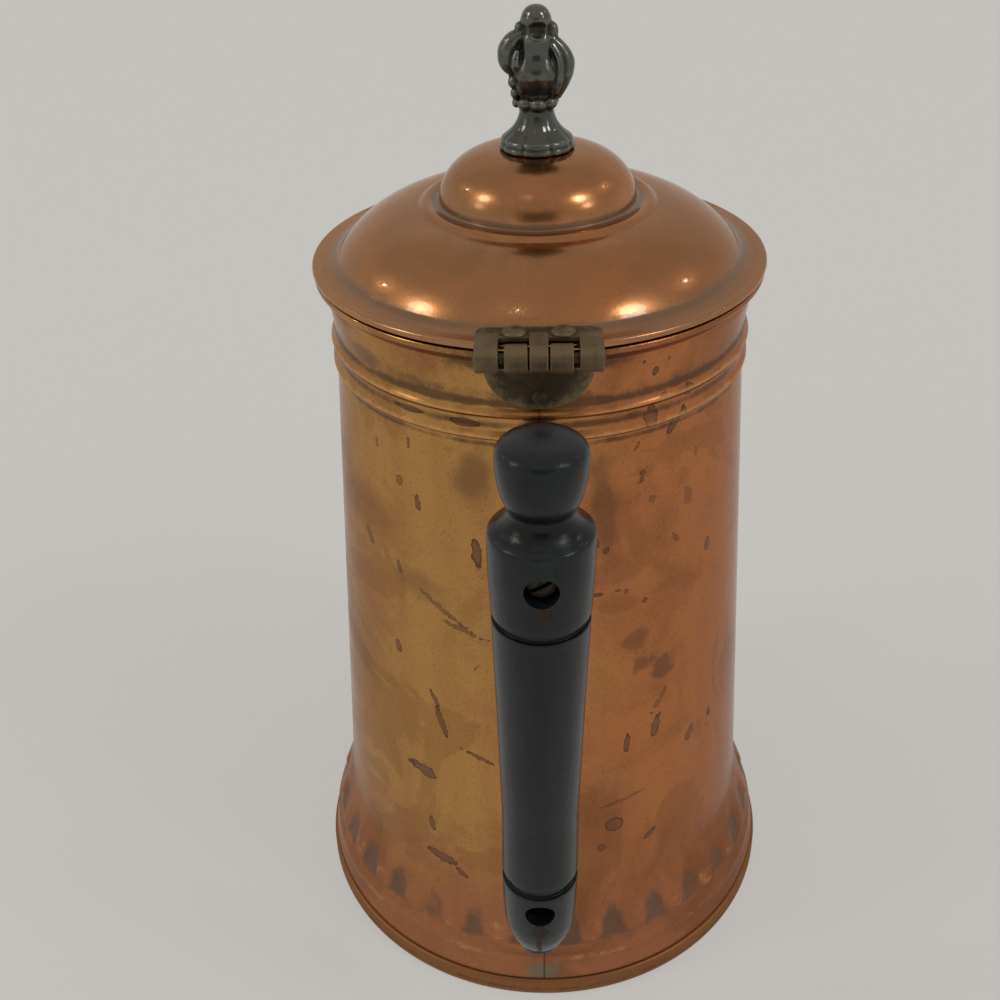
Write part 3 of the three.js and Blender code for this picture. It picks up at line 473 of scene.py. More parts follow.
class Graph:
    """Adds nodes to a shader tree, with numbers, colours or sockets as their inputs."""

    def __init__(self, tree: Tree) -> None:
        """Keeps the tree that the nodes go into."""
        self.tree = tree

    def feed(self, socket: Socket, value: object) -> None:
        """Gives an input its value.

        Args:
            socket: The input.
            value: A number, a colour or a vector to set, or another socket to link.
        """
        if isinstance(value, Socket):
            self.tree.links.new(value, socket)
        else:
            socket.default_value = value

    def add(self, kind: str, inputs: dict[str | int, object] | None = None, **settings: object) -> Node:
        """Adds one node.

        Args:
            kind: Blender's name of the node.
            inputs: Values or sockets by input name or number.
            **settings: Properties of the node.

        Returns:
            The node.
        """
        node = self.tree.nodes.new(kind)
        for key, value in settings.items():
            setattr(node, key, value)
        for key, value in (inputs or {}).items():
            self.feed(node.inputs[key], value)
        return node

    def math(self, operation: str, *values: object, clamp: bool = False) -> Socket:
        """Adds a sum, product or other operation on numbers."""
        node = self.add("ShaderNodeMath", dict(enumerate(values)), operation=operation, use_clamp=clamp)
        return node.outputs[0]

    def plus(self, first: object, second: object, clamp: bool = False) -> Socket:
        """Adds two numbers."""
        return self.math("ADD", first, second, clamp=clamp)

    def minus(self, first: object, second: object, clamp: bool = False) -> Socket:
        """Takes the second number from the first."""
        return self.math("SUBTRACT", first, second, clamp=clamp)

    def times(self, first: object, second: object) -> Socket:
        """Multiplies two numbers."""
        return self.math("MULTIPLY", first, second)

    def most(self, first: object, second: object) -> Socket:
        """Gives the larger of two numbers."""
        return self.math("MAXIMUM", first, second)

    def vector(self, operation: str, *values: object) -> Socket:
        """Adds an operation on vectors."""
        return self.add("ShaderNodeVectorMath", dict(enumerate(values)), operation=operation).outputs[0]

    def noise(
        self, vector: Socket, scale: object, detail: float = 4.0, rough: float = 0.55, warp: float = 0.0
    ) -> Socket:
        """Adds a cloudy pattern around 0.5."""
        inputs = {"Vector": vector, "Scale": scale, "Detail": detail, "Roughness": rough, "Distortion": warp}
        return self.add("ShaderNodeTexNoise", inputs).outputs["Fac"]

    def smooth(self, value: Socket, low: object, high: object) -> Socket:
        """Maps a value to 0 below one limit and 1 above the other, with a soft step between them."""
        inputs = {"Value": value, "From Min": low, "From Max": high}
        return self.add("ShaderNodeMapRange", inputs, interpolation_type="SMOOTHSTEP").outputs[0]

    def spread(self, value: Socket, low: float, high: float) -> Socket:
        """Maps 0 to 1 onto a range."""
        return self.add("ShaderNodeMapRange", {"Value": value, "To Min": low, "To Max": high}).outputs[0]

    def blend(self, share: object, first: object, second: object) -> Socket:
        """Mixes two colours. The node's inputs 6 and 7 and its output 2 are the ones for colours.

        Args:
            share: Share of the second colour, 0 to 1.
            first: Colour at 0.
            second: Colour at 1.

        Returns:
            The mixed colour.
        """
        node = self.add("ShaderNodeMix", data_type="RGBA")
        for index, value in ((0, share), (6, first), (7, second)):
            self.feed(node.inputs[index], value)
        return node.outputs[2]

    def cover(self, colour: object, over: object, share: Socket, strength: float) -> Socket:
        """Lays a second colour over the first where a share is high, with at most a given strength."""
        return self.blend(self.times(share, strength), colour, over)

    def place(self) -> Socket:
        """Gives the place on the piece, in metres."""
        return self.add("ShaderNodeTexCoord").outputs["Object"]

    def surface(self) -> Socket:
        """Gives the place on the piece's own surface map."""
        return self.add("ShaderNodeUVMap", uv_map="surface").outputs[0]

    def held(self, name: str) -> Socket:
        """Gives a value that the mesh holds."""
        return self.add("ShaderNodeAttribute", attribute_name=name).outputs["Fac"]


class Effect(Enum):
    """Shader groups that several finishes share."""

    CLOUDS = "patina clouds"
    DRIPS = "drips"
    STAIN = "stain"
    WEAR = "edge wear"
    GRAIN = "surface grain"


class Effects:
    """Builds each shared shader group once."""

    def __init__(self) -> None:
        """Builds every group."""
        makers = {Effect.CLOUDS: self.clouds, Effect.DRIPS: self.drips, Effect.STAIN: self.stain,
                  Effect.WEAR: self.wear_and_painted_light, Effect.GRAIN: self.grain}
        self.trees = {effect: maker() for effect, maker in makers.items()}

    @staticmethod
    def open_group(effect: Effect, inputs: dict[str, object], outputs: Sequence[str]) -> tuple[Graph, Sockets, Sockets]:
        """Starts a group with named sockets.

        Args:
            effect: The effect that the group makes.
            inputs: Input names with default values: None is a vector, a number is a number.
            outputs: Names of the outputs, which are all numbers.

        Returns:
            The graph, the sockets that bring the inputs and the sockets that take the outputs.
        """
        tree = bpy.data.node_groups.new(effect.value, "ShaderNodeTree")
        for title, value in inputs.items():
            kind = "NodeSocketVector" if value is None else "NodeSocketFloat"
            socket = tree.interface.new_socket(title, in_out="INPUT", socket_type=kind)
            if value is not None:
                socket.default_value = value
        for title in outputs:
            tree.interface.new_socket(title, in_out="OUTPUT", socket_type="NodeSocketFloat")
        graph = Graph(tree)
        return graph, graph.add("NodeGroupInput").outputs, graph.add("NodeGroupOutput").inputs

    def clouds(self) -> Tree:
        """Builds soft clouds, tiny specks, streaks that run down, and patches with a hard ragged edge.

        Returns:
            The group.
        """
        inputs = {"Vector": None, "Scale": 30.0, "Cover": 0.5}
        graph, given, out = self.open_group(Effect.CLOUDS, inputs, ("Cloud", "Speck", "Streak", "Patch"))
        place, scale = given["Vector"], given["Scale"]
        edge = graph.minus(0.78, graph.times(given["Cover"], 0.5))
        cloud = graph.noise(place, scale, 8.0, 0.62, 0.6)
        speck = graph.noise(place, graph.times(scale, 76.0), 3.0, 0.65)
        patch = graph.noise(place, graph.times(scale, 1.15), 5.0, 0.52, 1.2)
        squeezed = graph.vector("MULTIPLY", place, (1.0, 1.0, 0.12))
        streak = graph.noise(squeezed, graph.times(scale, 3.5), 5.0, 0.6)
        graph.feed(out["Cloud"], graph.smooth(cloud, graph.minus(edge, 0.1), graph.plus(edge, 0.12)))
        graph.feed(out["Speck"], graph.smooth(speck, 0.57, 0.66))
        graph.feed(out["Patch"], graph.smooth(patch, 0.52, 0.58))
        graph.feed(out["Streak"], graph.smooth(streak, 0.35, 0.75))
        return graph.tree

    def drips(self) -> Tree:
        """Builds small sharp spots, longer down the wall than across, with a darker rim.

        Returns:
            The group.
        """
        inputs = {"Vector": None, "Scale": 60.0, "Stretch": 0.4, "Cover": 0.3}
        graph, given, out = self.open_group(Effect.DRIPS, inputs, ("Mask", "Rim"))
        squeeze = graph.add("ShaderNodeCombineXYZ", {0: 1.0, 1: 1.0, 2: given["Stretch"]}).outputs[0]
        place = graph.vector("MULTIPLY", given["Vector"], squeeze)
        spots = graph.noise(place, given["Scale"], 2.5, 0.5, 0.4)
        edge = graph.minus(0.86, graph.times(given["Cover"], 0.4))
        mask = graph.smooth(spots, edge, graph.plus(edge, 0.025))
        inside = graph.smooth(spots, graph.plus(edge, 0.02), graph.plus(edge, 0.06))
        graph.feed(out["Mask"], mask)
        graph.feed(out["Rim"], graph.minus(mask, inside, clamp=True))
        return graph.tree

    def stain(self) -> Tree:
        """Builds one stain of a given place, size, lean and raggedness on the surface map.

        Returns:
            The group.
        """
        inputs = {"Vector": None, "X": 0.0, "Y": 0.0, "Half Width": 0.002, "Half Height": 0.004, "Lean": 0.0,
                  "Ragged": 0.5, "Soft": 0.0}
        graph, given, out = self.open_group(Effect.STAIN, inputs, ("Mask", "Rim"))
        spot, wide, tall = given["Vector"], given["Half Width"], given["Half Height"]
        centre = graph.add("ShaderNodeCombineXYZ", {0: given["X"], 1: given["Y"]}).outputs[0]
        offset = graph.vector("SUBTRACT", spot, centre)
        turned = graph.add("ShaderNodeVectorRotate", {"Vector": offset, "Angle": given["Lean"]}, rotation_type="Z_AXIS")
        size = graph.add("ShaderNodeCombineXYZ", {0: wide, 1: tall, 2: 1.0}).outputs[0]
        shape = graph.vector("DIVIDE", turned.outputs[0], size)
        length = graph.add("ShaderNodeVectorMath", {0: shape}, operation="LENGTH").outputs["Value"]
        rough = graph.minus(graph.noise(spot, graph.math("DIVIDE", 0.55, wide), 3.0, 0.55), 0.5)
        reach = graph.plus(length, graph.times(rough, graph.times(given["Ragged"], 3.2)))
        edge = graph.minus(0.92, given["Soft"])
        mask = graph.minus(1.0, graph.smooth(reach, edge, 1.0))
        inside = graph.minus(1.0, graph.smooth(reach, 0.66, 0.9))
        graph.feed(out["Mask"], mask)
        graph.feed(out["Rim"], graph.minus(mask, inside, clamp=True))
        return graph.tree

    def wear_and_painted_light(self) -> Tree:
        """Builds rubbed edges, darker creases and their painted highlights and shade from the mesh's edge values.

        Returns:
            The group.
        """
        inputs = {"Vector": None, "Ridge": 0.0, "Hollow": 0.0, "Scale": 300.0}
        graph, given, out = self.open_group(Effect.WEAR, inputs, ("RubbedAndHighlit", "DirtAndShade"))
        # Where a piece sets them, the ridge and hollow values carry painted highlights and painted shade.
        rough = graph.noise(given["Vector"], given["Scale"], 5.0, 0.65)
        ragged = graph.times(graph.minus(rough, 0.5), 1.1)
        rubbed = graph.smooth(graph.plus(given["Ridge"], ragged), 0.25, 0.75)
        filled = graph.smooth(graph.plus(given["Hollow"], ragged), 0.2, 0.8)
        graph.feed(out["RubbedAndHighlit"], graph.times(rubbed, graph.smooth(given["Ridge"], 0.02, 0.2)))
        graph.feed(out["DirtAndShade"], graph.times(filled, graph.smooth(given["Hollow"], 0.02, 0.2)))
        return graph.tree

    def grain(self) -> Tree:
        """Builds the height of fine lines along one direction, broad dents and small pits.

        Returns:
            The group.
        """
        inputs = {"Vector": None, "Lines": 0.3, "Dents": 0.5, "Pits": 0.2, "Line Scale": 900.0}
        graph, given, out = self.open_group(Effect.GRAIN, inputs, ("Height",))
        place = given["Vector"]
        squeezed = graph.vector("MULTIPLY", place, (0.04, 0.04, 1.0))
        lines = graph.noise(squeezed, given["Line Scale"], 3.0, 0.7)
        dents = graph.noise(place, 38.0, 2.0, 0.4)
        pits = graph.noise(place, 1100.0, 2.0, 0.5)
        heights = ((lines, "Lines"), (dents, "Dents"), (pits, "Pits"))
        parts = [graph.times(height, given[share]) for height, share in heights]
        graph.feed(out["Height"], graph.plus(graph.plus(parts[0], parts[1]), parts[2]))
        return graph.tree


class Finish:
    """A material in the making: its graph, its surface shader and the shared effects."""

    def __init__(self, name: str, effects: Effects) -> None:
        """Starts an empty material.

        Args:
            name: Name of the material.
            effects: The shared shader groups.
        """
        self.material = bpy.data.materials.new(name)
        self.material.use_nodes = True
        tree = self.material.node_tree
        tree.nodes.clear()
        self.graph = Graph(tree)
        self.effects = effects
        self.shader = self.graph.add("ShaderNodeBsdfPrincipled")
        self.output = self.graph.add("ShaderNodeOutputMaterial")
        tree.links.new(self.shader.outputs[0], self.output.inputs["Surface"])

    def effect(self, effect: Effect, inputs: dict[str, object]) -> Sockets:
        """Places a shared group in the material with its own values.

        Args:
            effect: The effect.
            inputs: Values or sockets by input name.

        Returns:
            The group's outputs.
        """
        node = self.graph.add("ShaderNodeGroup")
        node.node_tree = self.effects.trees[effect]
        for key, value in inputs.items():
            self.graph.feed(node.inputs[key], value)
        return node.outputs

    def wear_and_painted_light(self, spot: Socket, scale: float) -> Sockets:
        """Places the wear group, fed with the edge values that the mesh holds."""
        ridge, hollow = self.graph.held("ridge"), self.graph.held("hollow")
        return self.effect(Effect.WEAR, {"Vector": spot, "Ridge": ridge, "Hollow": hollow, "Scale": scale})

    def close(
        self, colour: object, rough: object, metal: object, height: object, strength: float, depth: float
    ) -> Material:
        """Feeds the surface shader.

        Args:
            colour: Base colour.
            rough: Roughness.
            metal: Metallic value.
            height: Height of the relief, 0 to 1, or None.
            strength: Strength of the relief.
            depth: Depth of the relief in metres.

        Returns:
            The finished material.
        """
        for name, value in (("Base Color", colour), ("Roughness", rough), ("Metallic", metal)):
            self.graph.feed(self.shader.inputs[name], value)
        if height is not None:
            bump = self.graph.add("ShaderNodeBump", {"Height": height, "Strength": strength, "Distance": depth})
            self.graph.feed(self.shader.inputs["Normal"], bump.outputs[0])
        return self.material


# Finishes


@dataclass(frozen=True)
class Stain:
    """One stain on a surface map.

    Attributes:
        x: Arc length of its middle, in millimetres.
        z: Height of its middle.
        half_width: Half its width.
        half_height: Half its height.
        lean: Turn in degrees, with its top to +X.
        ragged: Raggedness of its edge.
        strength: How strong it is, 1 for a clear one.
        soft: Width of its soft edge as a share of its size.
    """

    x: float
    z: float
    half_width: float
    half_height: float
    lean: float = 0.0
    ragged: float = 0.4
    strength: float = 1.0
    soft: float = 0.0

    def values(self, surface: Socket) -> dict[str, object]:
        """Gives the inputs of the stain group, in metres and radians.

        Args:
            surface: The surface map that the stain lies on.

        Returns:
            The value of each input.
        """
        return {
            "Vector": surface, "X": self.x * MM, "Y": self.z * MM, "Half Width": self.half_width * MM,
            "Half Height": self.half_height * MM, "Lean": math.radians(-self.lean), "Ragged": self.ragged,
            "Soft": self.soft,
        }


# Stains on the wall's surface map, and two painted reflections of the handle.
WALL_STAINS_AND_REFLECTIONS: tuple[Stain, ...] = tuple(Stain(*values) for values in (
    (-53.7, 143.1, 1.1, 3.2, 35), (-40.0, 165.5, 1.2, 1.5, 0, 0.2, 0.7), (-33.8, 161.1, 0.9, 2.4, 10),
    (-42.1, 112.9, 1.1, 2.2, 10), (-41.1, 139.4, 0.9, 2.0, 15), (-16.7, 151.1, 1.4, 4.4, 5, 0.5),
    (-28.0, 93.8, 1.0, 5.2, 17), (-29.9, 100.8, 0.8, 3.0, 30), (-33.9, 72.9, 1.9, 5.0, 82, 0.6),
    (-31.8, 53.6, 1.0, 2.6, 10), (-28.9, 41.9, 1.7, 4.9, 80, 0.6), (-22.9, 38.4, 1.0, 2.2, 45),
    (37.6, 182.4, 1.3, 4.6, -42, 0.4), (23.4, 121.6, 4.6, 4.0, 30, 1.0, 0.75, 0.45),
    (27.0, 114.6, 3.6, 4.6, -30, 1.0, 0.75, 0.4), (33.0, 110.0, 4.6, 5.2, 35, 1.0, 0.95, 0.4),
    (19.4, 59.1, 2.7, 2.6, 0, 0.15, 0.7), (15.7, 51.1, 1.3, 1.5, 0, 0.3, 0.8), (30.2, 50.6, 1.0, 2.6, -50),
    (51.1, 141.0, 1.3, 2.1, 0), (44.2, 80.2, 1.4, 2.9, -20, 0.6), (31.8, 90.0, 1.3, 4.4, -12, 0.7),
    (23.0, 87.6, 0.9, 3.2, -5), (-34.0, 137.5, 10.0, 6.0, 12, 0.8, 0.5, 0.65),
    (-27.2, 131.5, 0.8, 8.5, 60, 0.9, 0.8), (-21.0, 126.5, 0.8, 6.0, 76, 0.9, 0.8),
    (-17.2, 84.6, 0.7, 4.4, 70, 0.8), (21.3, 67.4, 0.5, 6.2, -80, 0.8, 0.7), (33.3, 99.2, 0.8, 5.0, -35, 0.7, 0.7),
    (16.9, 151.3, 0.8, 1.1, -40, 0.2, 1.2), (14.7, 153.7, 0.5, 1.3, 0, 0.2, 1.1),
    (14.7, 138.6, 1.4, 0.6, 0, 0.3, 1.2), (20.2, 138.7, 0.8, 0.4, 0, 0.3), (22.6, 137.9, 0.8, 0.7, 0, 0.2, 0.8),
    (28.1, 133.5, 0.9, 0.8, 0, 0.3), (42.4, 159.7, 1.9, 3.4, 0, 0.5, 0.7, 0.3), (27.1, 170.0, 1.0, 2.2, -30, 1.2),
    (30.3, 162.6, 1.1, 1.1, 0, 1.2, 0.7), (37.8, 149.1, 0.7, 1.6, 30, 1.0, 0.8),
    (45.3, 170.8, 0.7, 1.2, 0, 0.6, 0.7), (25.4, 178.3, 0.5, 1.5, -35, 0.8, 0.8),
    (29.9, 197.3, 1.1, 1.2, 0, 0.3, 1.1), (26.1, 200.7, 0.5, 0.6, 0, 0.3), (33.5, 199.8, 0.4, 0.7, 0, 0.3),
    (22.4, 188.7, 0.45, 0.45, 0, 0.2), (41.2, 189.6, 1.5, 1.8, -20, 0.7), (32.1, 190.1, 1.5, 0.9, 30, 0.8, 0.7),
    (28.6, 185.6, 2.2, 2.3, 10, 1.0, 0.9), (-51.5, 196.0, 7.5, 2.6, 0, 0.35, 0.8, 0.3),
    (-35.5, 186.8, 5.0, 0.9, 0, 0.5, 1.1), (-19.2, 186.6, 4.0, 0.9, 0, 0.5, 1.1), (-36.4, 177.1, 0.5, 1.7, 0, 0.3),
    # The entries at (16.6, 163.0) and (-17.6, 171.0) are not stains: they are painted reflections of the dark handle on
    # the wall beside its knob.
    (-48.7, 172.9, 0.6, 1.6, 0, 0.4, 0.8), (16.6, 163.0, 4.8, 20.0, 6, 0.3, 0.8, 0.55),
    (-17.6, 171.0, 7.6, 9.5, -8, 0.3, 0.75, 0.5),
))


@dataclass(frozen=True)
class Copper:
    """Old copper, once polished, with brown patina, drips and rubbed edges.

    Attributes:
        left: Colour on the -X side.
        right: Colour on the +X side.
        foot: Colour near the ground.
        patina: Colour of the brown film.
        stained: Colour inside a stain.
        dirt: Colour of specks and drip rims, and of dirt and painted shade in creases and along the wall's painted
            shade lines.
        ash: Colour of grey dirt and painted shade in creases near the ground.
        bright: Colour of rubbed edges, and of the painted highlights on the wall's beads, skirt and fingers.
        rough: Roughness of clean metal.
        film: Share of the surface under brown film.
        patches: Strength of the hard-edged patches of film.
        reddening: Strength of the foot's colour.
        rubbed: Strength of the rubbed edges and of the painted highlights.
        cover: Share of the surface with small drips.
        stains: Single stains on the surface map; two of the wall's are painted reflections of the handle.
        seam: Whether the wall's seam shows.
        coat: Weight of the thin clear film that carries sharp reflections.
    """

    left: Colour
    right: Colour
    foot: Colour
    patina: Colour
    stained: Colour
    dirt: Colour
    ash: Colour
    bright: Colour
    rough: float = 0.3
    film: float = 0.5
    patches: float = 0.3
    reddening: float = 0.0
    rubbed: float = 0.55
    cover: float = 0.3
    stains: tuple[Stain, ...] = ()
    seam: bool = False
    coat: float = 0.0
    edge: Colour = paint(232, 220, 214)

    def material(self, name: str, effects: Effects) -> Material:
        """Builds the material.

        Args:
            name: Name of the material.
            effects: The shared shader groups.

        Returns:
            The material.
        """
        made = Finish(name, effects)
        graph = made.graph
        made.shader.inputs["Specular Tint"].default_value = self.edge
        made.shader.inputs["Coat Weight"].default_value = self.coat
        made.shader.inputs["Coat Roughness"].default_value = 0.07
        spot, surface = graph.place(), graph.surface()
        clouds = made.effect(Effect.CLOUDS, {"Vector": spot, "Scale": 26.0, "Cover": self.film})
        drips = made.effect(Effect.DRIPS, {"Vector": spot, "Scale": 150.0, "Stretch": 0.45, "Cover": self.cover})
        wear_and_painted_light = made.wear_and_painted_light(spot, 260.0)
        parts = graph.add("ShaderNodeSeparateXYZ", {0: spot})
        sway = graph.minus(graph.noise(spot, 22.0, 3.0), 0.5)
        drift = graph.plus(parts.outputs[0], graph.times(sway, 0.06))
        colour = graph.blend(graph.smooth(drift, -0.022, 0.03), self.left, self.right)
        low = graph.plus(parts.outputs[2], graph.times(sway, 0.05))
        foot = graph.minus(1.0, graph.smooth(low, 0.022, 0.06))
        colour = graph.cover(colour, self.foot, foot, self.reddening)
        broad = graph.smooth(graph.noise(spot, 15.0, 4.0, 0.6, 0.8), 0.47, 0.6)
        colour = graph.cover(colour, self.foot, broad, self.reddening * 0.45)
        colour = graph.cover(colour, self.patina, clouds["Cloud"], 0.5)
        colour = graph.cover(colour, self.patina, clouds["Patch"], self.patches)
        colour = graph.cover(colour, self.patina, clouds["Streak"], 0.2)
        colour = graph.cover(colour, self.dirt, clouds["Speck"], 0.42)
        mask, rim = drips["Mask"], drips["Rim"]
        # The wall's list also holds two painted reflections of the handle, drawn as stains.
        for stain in self.stains:
            one = made.effect(Effect.STAIN, stain.values(surface))
            mask = graph.most(mask, graph.times(one["Mask"], stain.strength))
            rim = graph.most(rim, graph.times(one["Rim"], stain.strength))
        colour = graph.cover(colour, self.stained, mask, 0.72)
        colour = graph.cover(colour, self.dirt, rim, 0.8)
        # Dirt and painted shade in creases, on the wall's painted shade lines and under its hinge; then rubbed edges
        # and painted highlights.
        dirt_and_shade = graph.blend(foot, self.dirt, self.ash)
        colour = graph.cover(colour, dirt_and_shade, wear_and_painted_light["DirtAndShade"], 0.72)
        colour = graph.cover(colour, self.bright, wear_and_painted_light["RubbedAndHighlit"], self.rubbed)
        if self.seam:
            colour = self.seam_line(graph, surface, colour)
        rough = graph.spread(clouds["Cloud"], self.rough, self.rough + 0.1)
        rough = graph.plus(rough, graph.times(foot, 0.12))
        rough = graph.plus(rough, graph.times(mask, 0.14))
        rough = graph.plus(rough, graph.times(wear_and_painted_light["DirtAndShade"], 0.15), clamp=True)
        covered = graph.most(mask, wear_and_painted_light["DirtAndShade"])
        metal = graph.minus(1.0, graph.times(covered, 0.4))
        grain = made.effect(Effect.GRAIN, {"Vector": spot, "Lines": 0.1, "Dents": 0.9, "Pits": 0.06})
        return made.close(colour, rough, metal, grain["Height"], 0.35, 0.0006)

    def seam_line(self, graph: Graph, surface: Socket, colour: Socket) -> Socket:
        """Draws the soldered seam down the handle side, with grey solder at its foot.

        Args:
            graph: The material's graph.
            surface: Place on the surface map.
            colour: Colour so far.

        Returns:
            The colour with the seam.
        """
        parts = graph.add("ShaderNodeSeparateXYZ", {0: surface})
        aside = graph.math("ABSOLUTE", parts.outputs[0])
        line = graph.minus(1.0, graph.smooth(aside, 0.00012, 0.0003))
        ragged = graph.times(graph.minus(graph.noise(surface, 500.0, 4.0, 0.6), 0.5), 0.012)
        near = graph.minus(1.0, graph.smooth(graph.plus(aside, ragged), 0.002, 0.0055))
        low = graph.minus(1.0, graph.smooth(graph.plus(parts.outputs[1], ragged), 0.0115, 0.0135))
        colour = graph.cover(colour, paint(128, 118, 100), graph.times(near, low), 0.8)
        return graph.cover(colour, self.dirt, line, 0.7)


@dataclass(frozen=True)
class DullMetal:
    """Cast, tinned or tarnished metal with cloudy colour, darker creases and rubbed ridges.

    Attributes:
        base: Main colour.
        other: Colour of the clouds.
        dirt: Colour of specks and of the darkening in creases, which on the finial includes painted shade.
        bright: Colour of rubbed ridges.
        rough: Roughness.
        metal: Metallic value.
        scale: Scale of the clouds.
        film: Share under clouds.
        pits: Height of the small pits.
        filled: Strength of the darkening in creases, painted shade included.
        rubbed: Strength of the rubbed ridges.
    """

    base: Colour
    other: Colour
    dirt: Colour
    bright: Colour
    rough: float = 0.4
    metal: float = 0.85
    scale: float = 120.0
    film: float = 0.5
    pits: float = 0.5
    filled: float = 0.8
    rubbed: float = 0.6

    def material(self, name: str, effects: Effects) -> Material:
        """Builds the material.

        Args:
            name: Name of the material.
            effects: The shared shader groups.

        Returns:
            The material.
        """
        made = Finish(name, effects)
        graph = made.graph
        spot = graph.place()
        clouds = made.effect(Effect.CLOUDS, {"Vector": spot, "Scale": self.scale, "Cover": self.film})
        wear_and_painted_light = made.wear_and_painted_light(spot, 700.0)
        colour = graph.blend(graph.times(clouds["Cloud"], 0.8), self.base, self.other)
        colour = graph.cover(colour, self.dirt, clouds["Speck"], 0.35)
        # Darker in creases; on the finial this carries painted shade.
        colour = graph.cover(colour, self.dirt, wear_and_painted_light["DirtAndShade"], self.filled)
        colour = graph.cover(colour, self.bright, wear_and_painted_light["RubbedAndHighlit"], self.rubbed)
        rough = graph.spread(clouds["Cloud"], self.rough, self.rough + 0.15)
        rough = graph.plus(rough, graph.times(wear_and_painted_light["DirtAndShade"], 0.25), clamp=True)
        grain = made.effect(Effect.GRAIN, {"Vector": spot, "Lines": 0.05, "Dents": 0.3, "Pits": self.pits})
        return made.close(colour, rough, self.metal, grain["Height"], 0.3, 0.0003)


@dataclass(frozen=True)
class BlackPaint:
    """Semi-gloss black paint on turned wood, rubbed grey at its edges and chipped to the wood in places.

    Attributes:
        base: Colour of the paint.
        faded: Colour of rubbed paint.
        wood: Colour of bare wood.
        dark: Colour of the deepest marks and of the painted shade in creases.
        chips: Chips in the paint, on the surface map of the handle.
        rough: Roughness of the paint.
        gloss: Specular level of the paint.
    """

    base: Colour
    faded: Colour
    wood: Colour
    dark: Colour
    chips: tuple[Stain, ...] = ()
    rough: float = 0.21
    gloss: float = 0.32

    def material(self, name: str, effects: Effects) -> Material:
        """Builds the material.

        Args:
            name: Name of the material.
            effects: The shared shader groups.

        Returns:
            The material.
        """
        made = Finish(name, effects)
        graph = made.graph
        made.shader.inputs["Specular IOR Level"].default_value = self.gloss
        spot, surface = graph.place(), graph.surface()
        clouds = made.effect(Effect.CLOUDS, {"Vector": spot, "Scale": 70.0, "Cover": 0.75})
        nicks = made.effect(Effect.DRIPS, {"Vector": spot, "Scale": 420.0, "Stretch": 0.25, "Cover": 0.34})
        wear_and_painted_light = made.wear_and_painted_light(spot, 500.0)
        colour = graph.blend(graph.times(clouds["Streak"], 0.3), self.base, self.faded)
        colour = graph.cover(colour, self.dark, clouds["Cloud"], 0.25)
        colour = graph.cover(colour, self.faded, wear_and_painted_light["RubbedAndHighlit"], 0.12)
        # Painted shade in the turned creases, such as the neck under the knob.
        colour = graph.cover(colour, self.dark, wear_and_painted_light["DirtAndShade"], 0.8)
        colour = graph.cover(colour, self.dark, nicks["Mask"], 0.7)
        bare: Socket | float = 0.0
        for chip in self.chips:
            one = made.effect(Effect.STAIN, chip.values(surface))
            bare = graph.most(bare, graph.times(one["Mask"], chip.strength))
        fibre = graph.noise(graph.vector("MULTIPLY", spot, (1.0, 1.0, 0.08)), 1400.0, 4.0, 0.7)
        timber = graph.blend(fibre, self.dark, self.wood)
        colour = graph.blend(bare, colour, timber)
        rough = graph.spread(clouds["Streak"], self.rough, self.rough + 0.12)
        rough = graph.plus(rough, graph.times(bare, 0.35), clamp=True)
        fine = {"Vector": spot, "Lines": 0.25, "Dents": 0.5, "Pits": 0.25, "Line Scale": 500.0}
        grain = made.effect(Effect.GRAIN, fine)
        height = graph.minus(grain["Height"], graph.times(bare, 0.8))
        return made.close(colour, rough, 0.0, height, 0.45, 0.0004)


